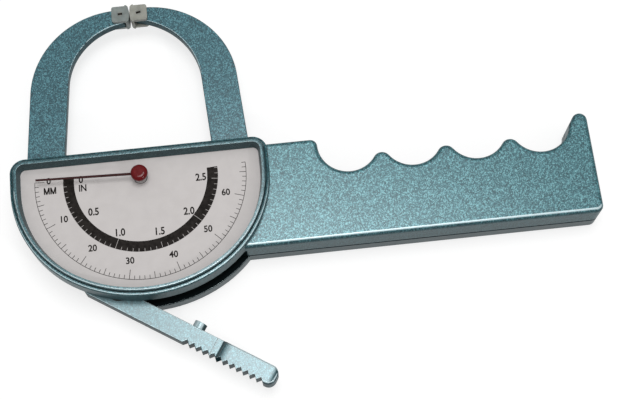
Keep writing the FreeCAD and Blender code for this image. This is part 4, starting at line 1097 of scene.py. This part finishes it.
# %% [markdown]
# ## Where the spring runs
# The spring that pulls the jaws shut is wound from thin wire, with a hook round a post at each
# end. Its middle line is one path: hook, straight shank, coil, shank, hook. The boxes of the two
# posts give its ends.

# %% Path of the spring
post_radius, post_play = 0.9 * MM, 0.15 * MM
wire_radius = 0.35 * MM
coil_radius = 1.25 * MM
hook_radius = post_radius + post_play + wire_radius
hook_length = 6.0 * MM
hook_sweep, hook_steps = 160, 9
coil_pitch = 0.95 * MM
turn_points = 12

spring_low, spring_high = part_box("closing_spring")
pull_low, pull_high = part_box("spring_pull_post")
anchor_low, anchor_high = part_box("spring_anchor_post")
pull_at = (pull_low + pull_high) / 2
anchor_at = (anchor_low + anchor_high) / 2
pull_at.z = anchor_at.z = (spring_low.z + spring_high.z) / 2

upright = Vector((0, 0, 1))
spring_way = (pull_at - anchor_at).normalized()
spring_side = upright.cross(spring_way)


def spring_path():
    """Points of the wire's middle line from the anchor's hook to the pull post's hook."""
    path = []
    for index in range(hook_steps + 1):
        turn = deg(hook_sweep - hook_sweep * index / hook_steps)
        path.append(anchor_at + spring_way * math.cos(turn) * hook_radius
                    + spring_side * math.sin(turn) * hook_radius)
    start = anchor_at + spring_way * hook_length
    length = (pull_at - anchor_at).length - 2 * hook_length
    steps = int(length / coil_pitch) * turn_points
    for index in range(steps + 1):
        turn = 2 * math.pi * index / turn_points
        grow = min(1.0, index / turn_points, (steps - index) / turn_points)
        path.append(start + spring_way * length * index / steps
                    + (spring_side * math.cos(turn) + upright * math.sin(turn))
                    * coil_radius * grow)
    for index in range(hook_steps + 1):
        turn = deg(hook_sweep * index / hook_steps)
        path.append(pull_at - spring_way * math.cos(turn) * hook_radius
                    - spring_side * math.sin(turn) * hook_radius)
    return path


print("spring", round((pull_at - anchor_at).length / MM, 1), "mm between its posts")

# %% [markdown]
# ## The closing spring
# A tube swept along the path makes the wire, from the frame's post to the arm's.

# %% Wound spring
tube_points = 8


def add_tube(mesh, path, radius):
    """Sweeps a round wire along a path, closed at both ends."""
    rings = []
    normal = None
    for index, point in enumerate(path):
        way = (path[min(index + 1, len(path) - 1)] - path[max(index - 1, 0)]).normalized()
        if normal is None:
            normal = way.orthogonal().normalized()
        normal = (normal - way * normal.dot(way)).normalized()
        side = way.cross(normal)
        rings.append([mesh.verts.new(point + (normal * math.cos(turn) + side * math.sin(turn))
                                     * radius)
                      for turn in (2 * math.pi * step / tube_points
                                   for step in range(tube_points))])
    skin(mesh, rings)


spring_mesh = bmesh.new()
add_tube(spring_mesh, spring_path(), wire_radius)
wound_spring = make_piece("wound_spring", spring_mesh, steel)
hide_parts("closing_spring")
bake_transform(wound_spring)
print("wire", round(2 * wire_radius / MM, 1), "mm thick")

# %% [markdown]
# ## Smooth shading
# New meshes are shaded smooth where the surface runs on and sharp at real edges.

# %% Shade the new pieces
sharp_from = 35

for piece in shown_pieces():
    if "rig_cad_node" in piece or piece.type != "MESH":
        continue
    piece.data.shade_smooth()
    piece.data.set_sharp_from_angle(angle=deg(sharp_from))
    print(piece.name, len(piece.data.polygons), "faces")
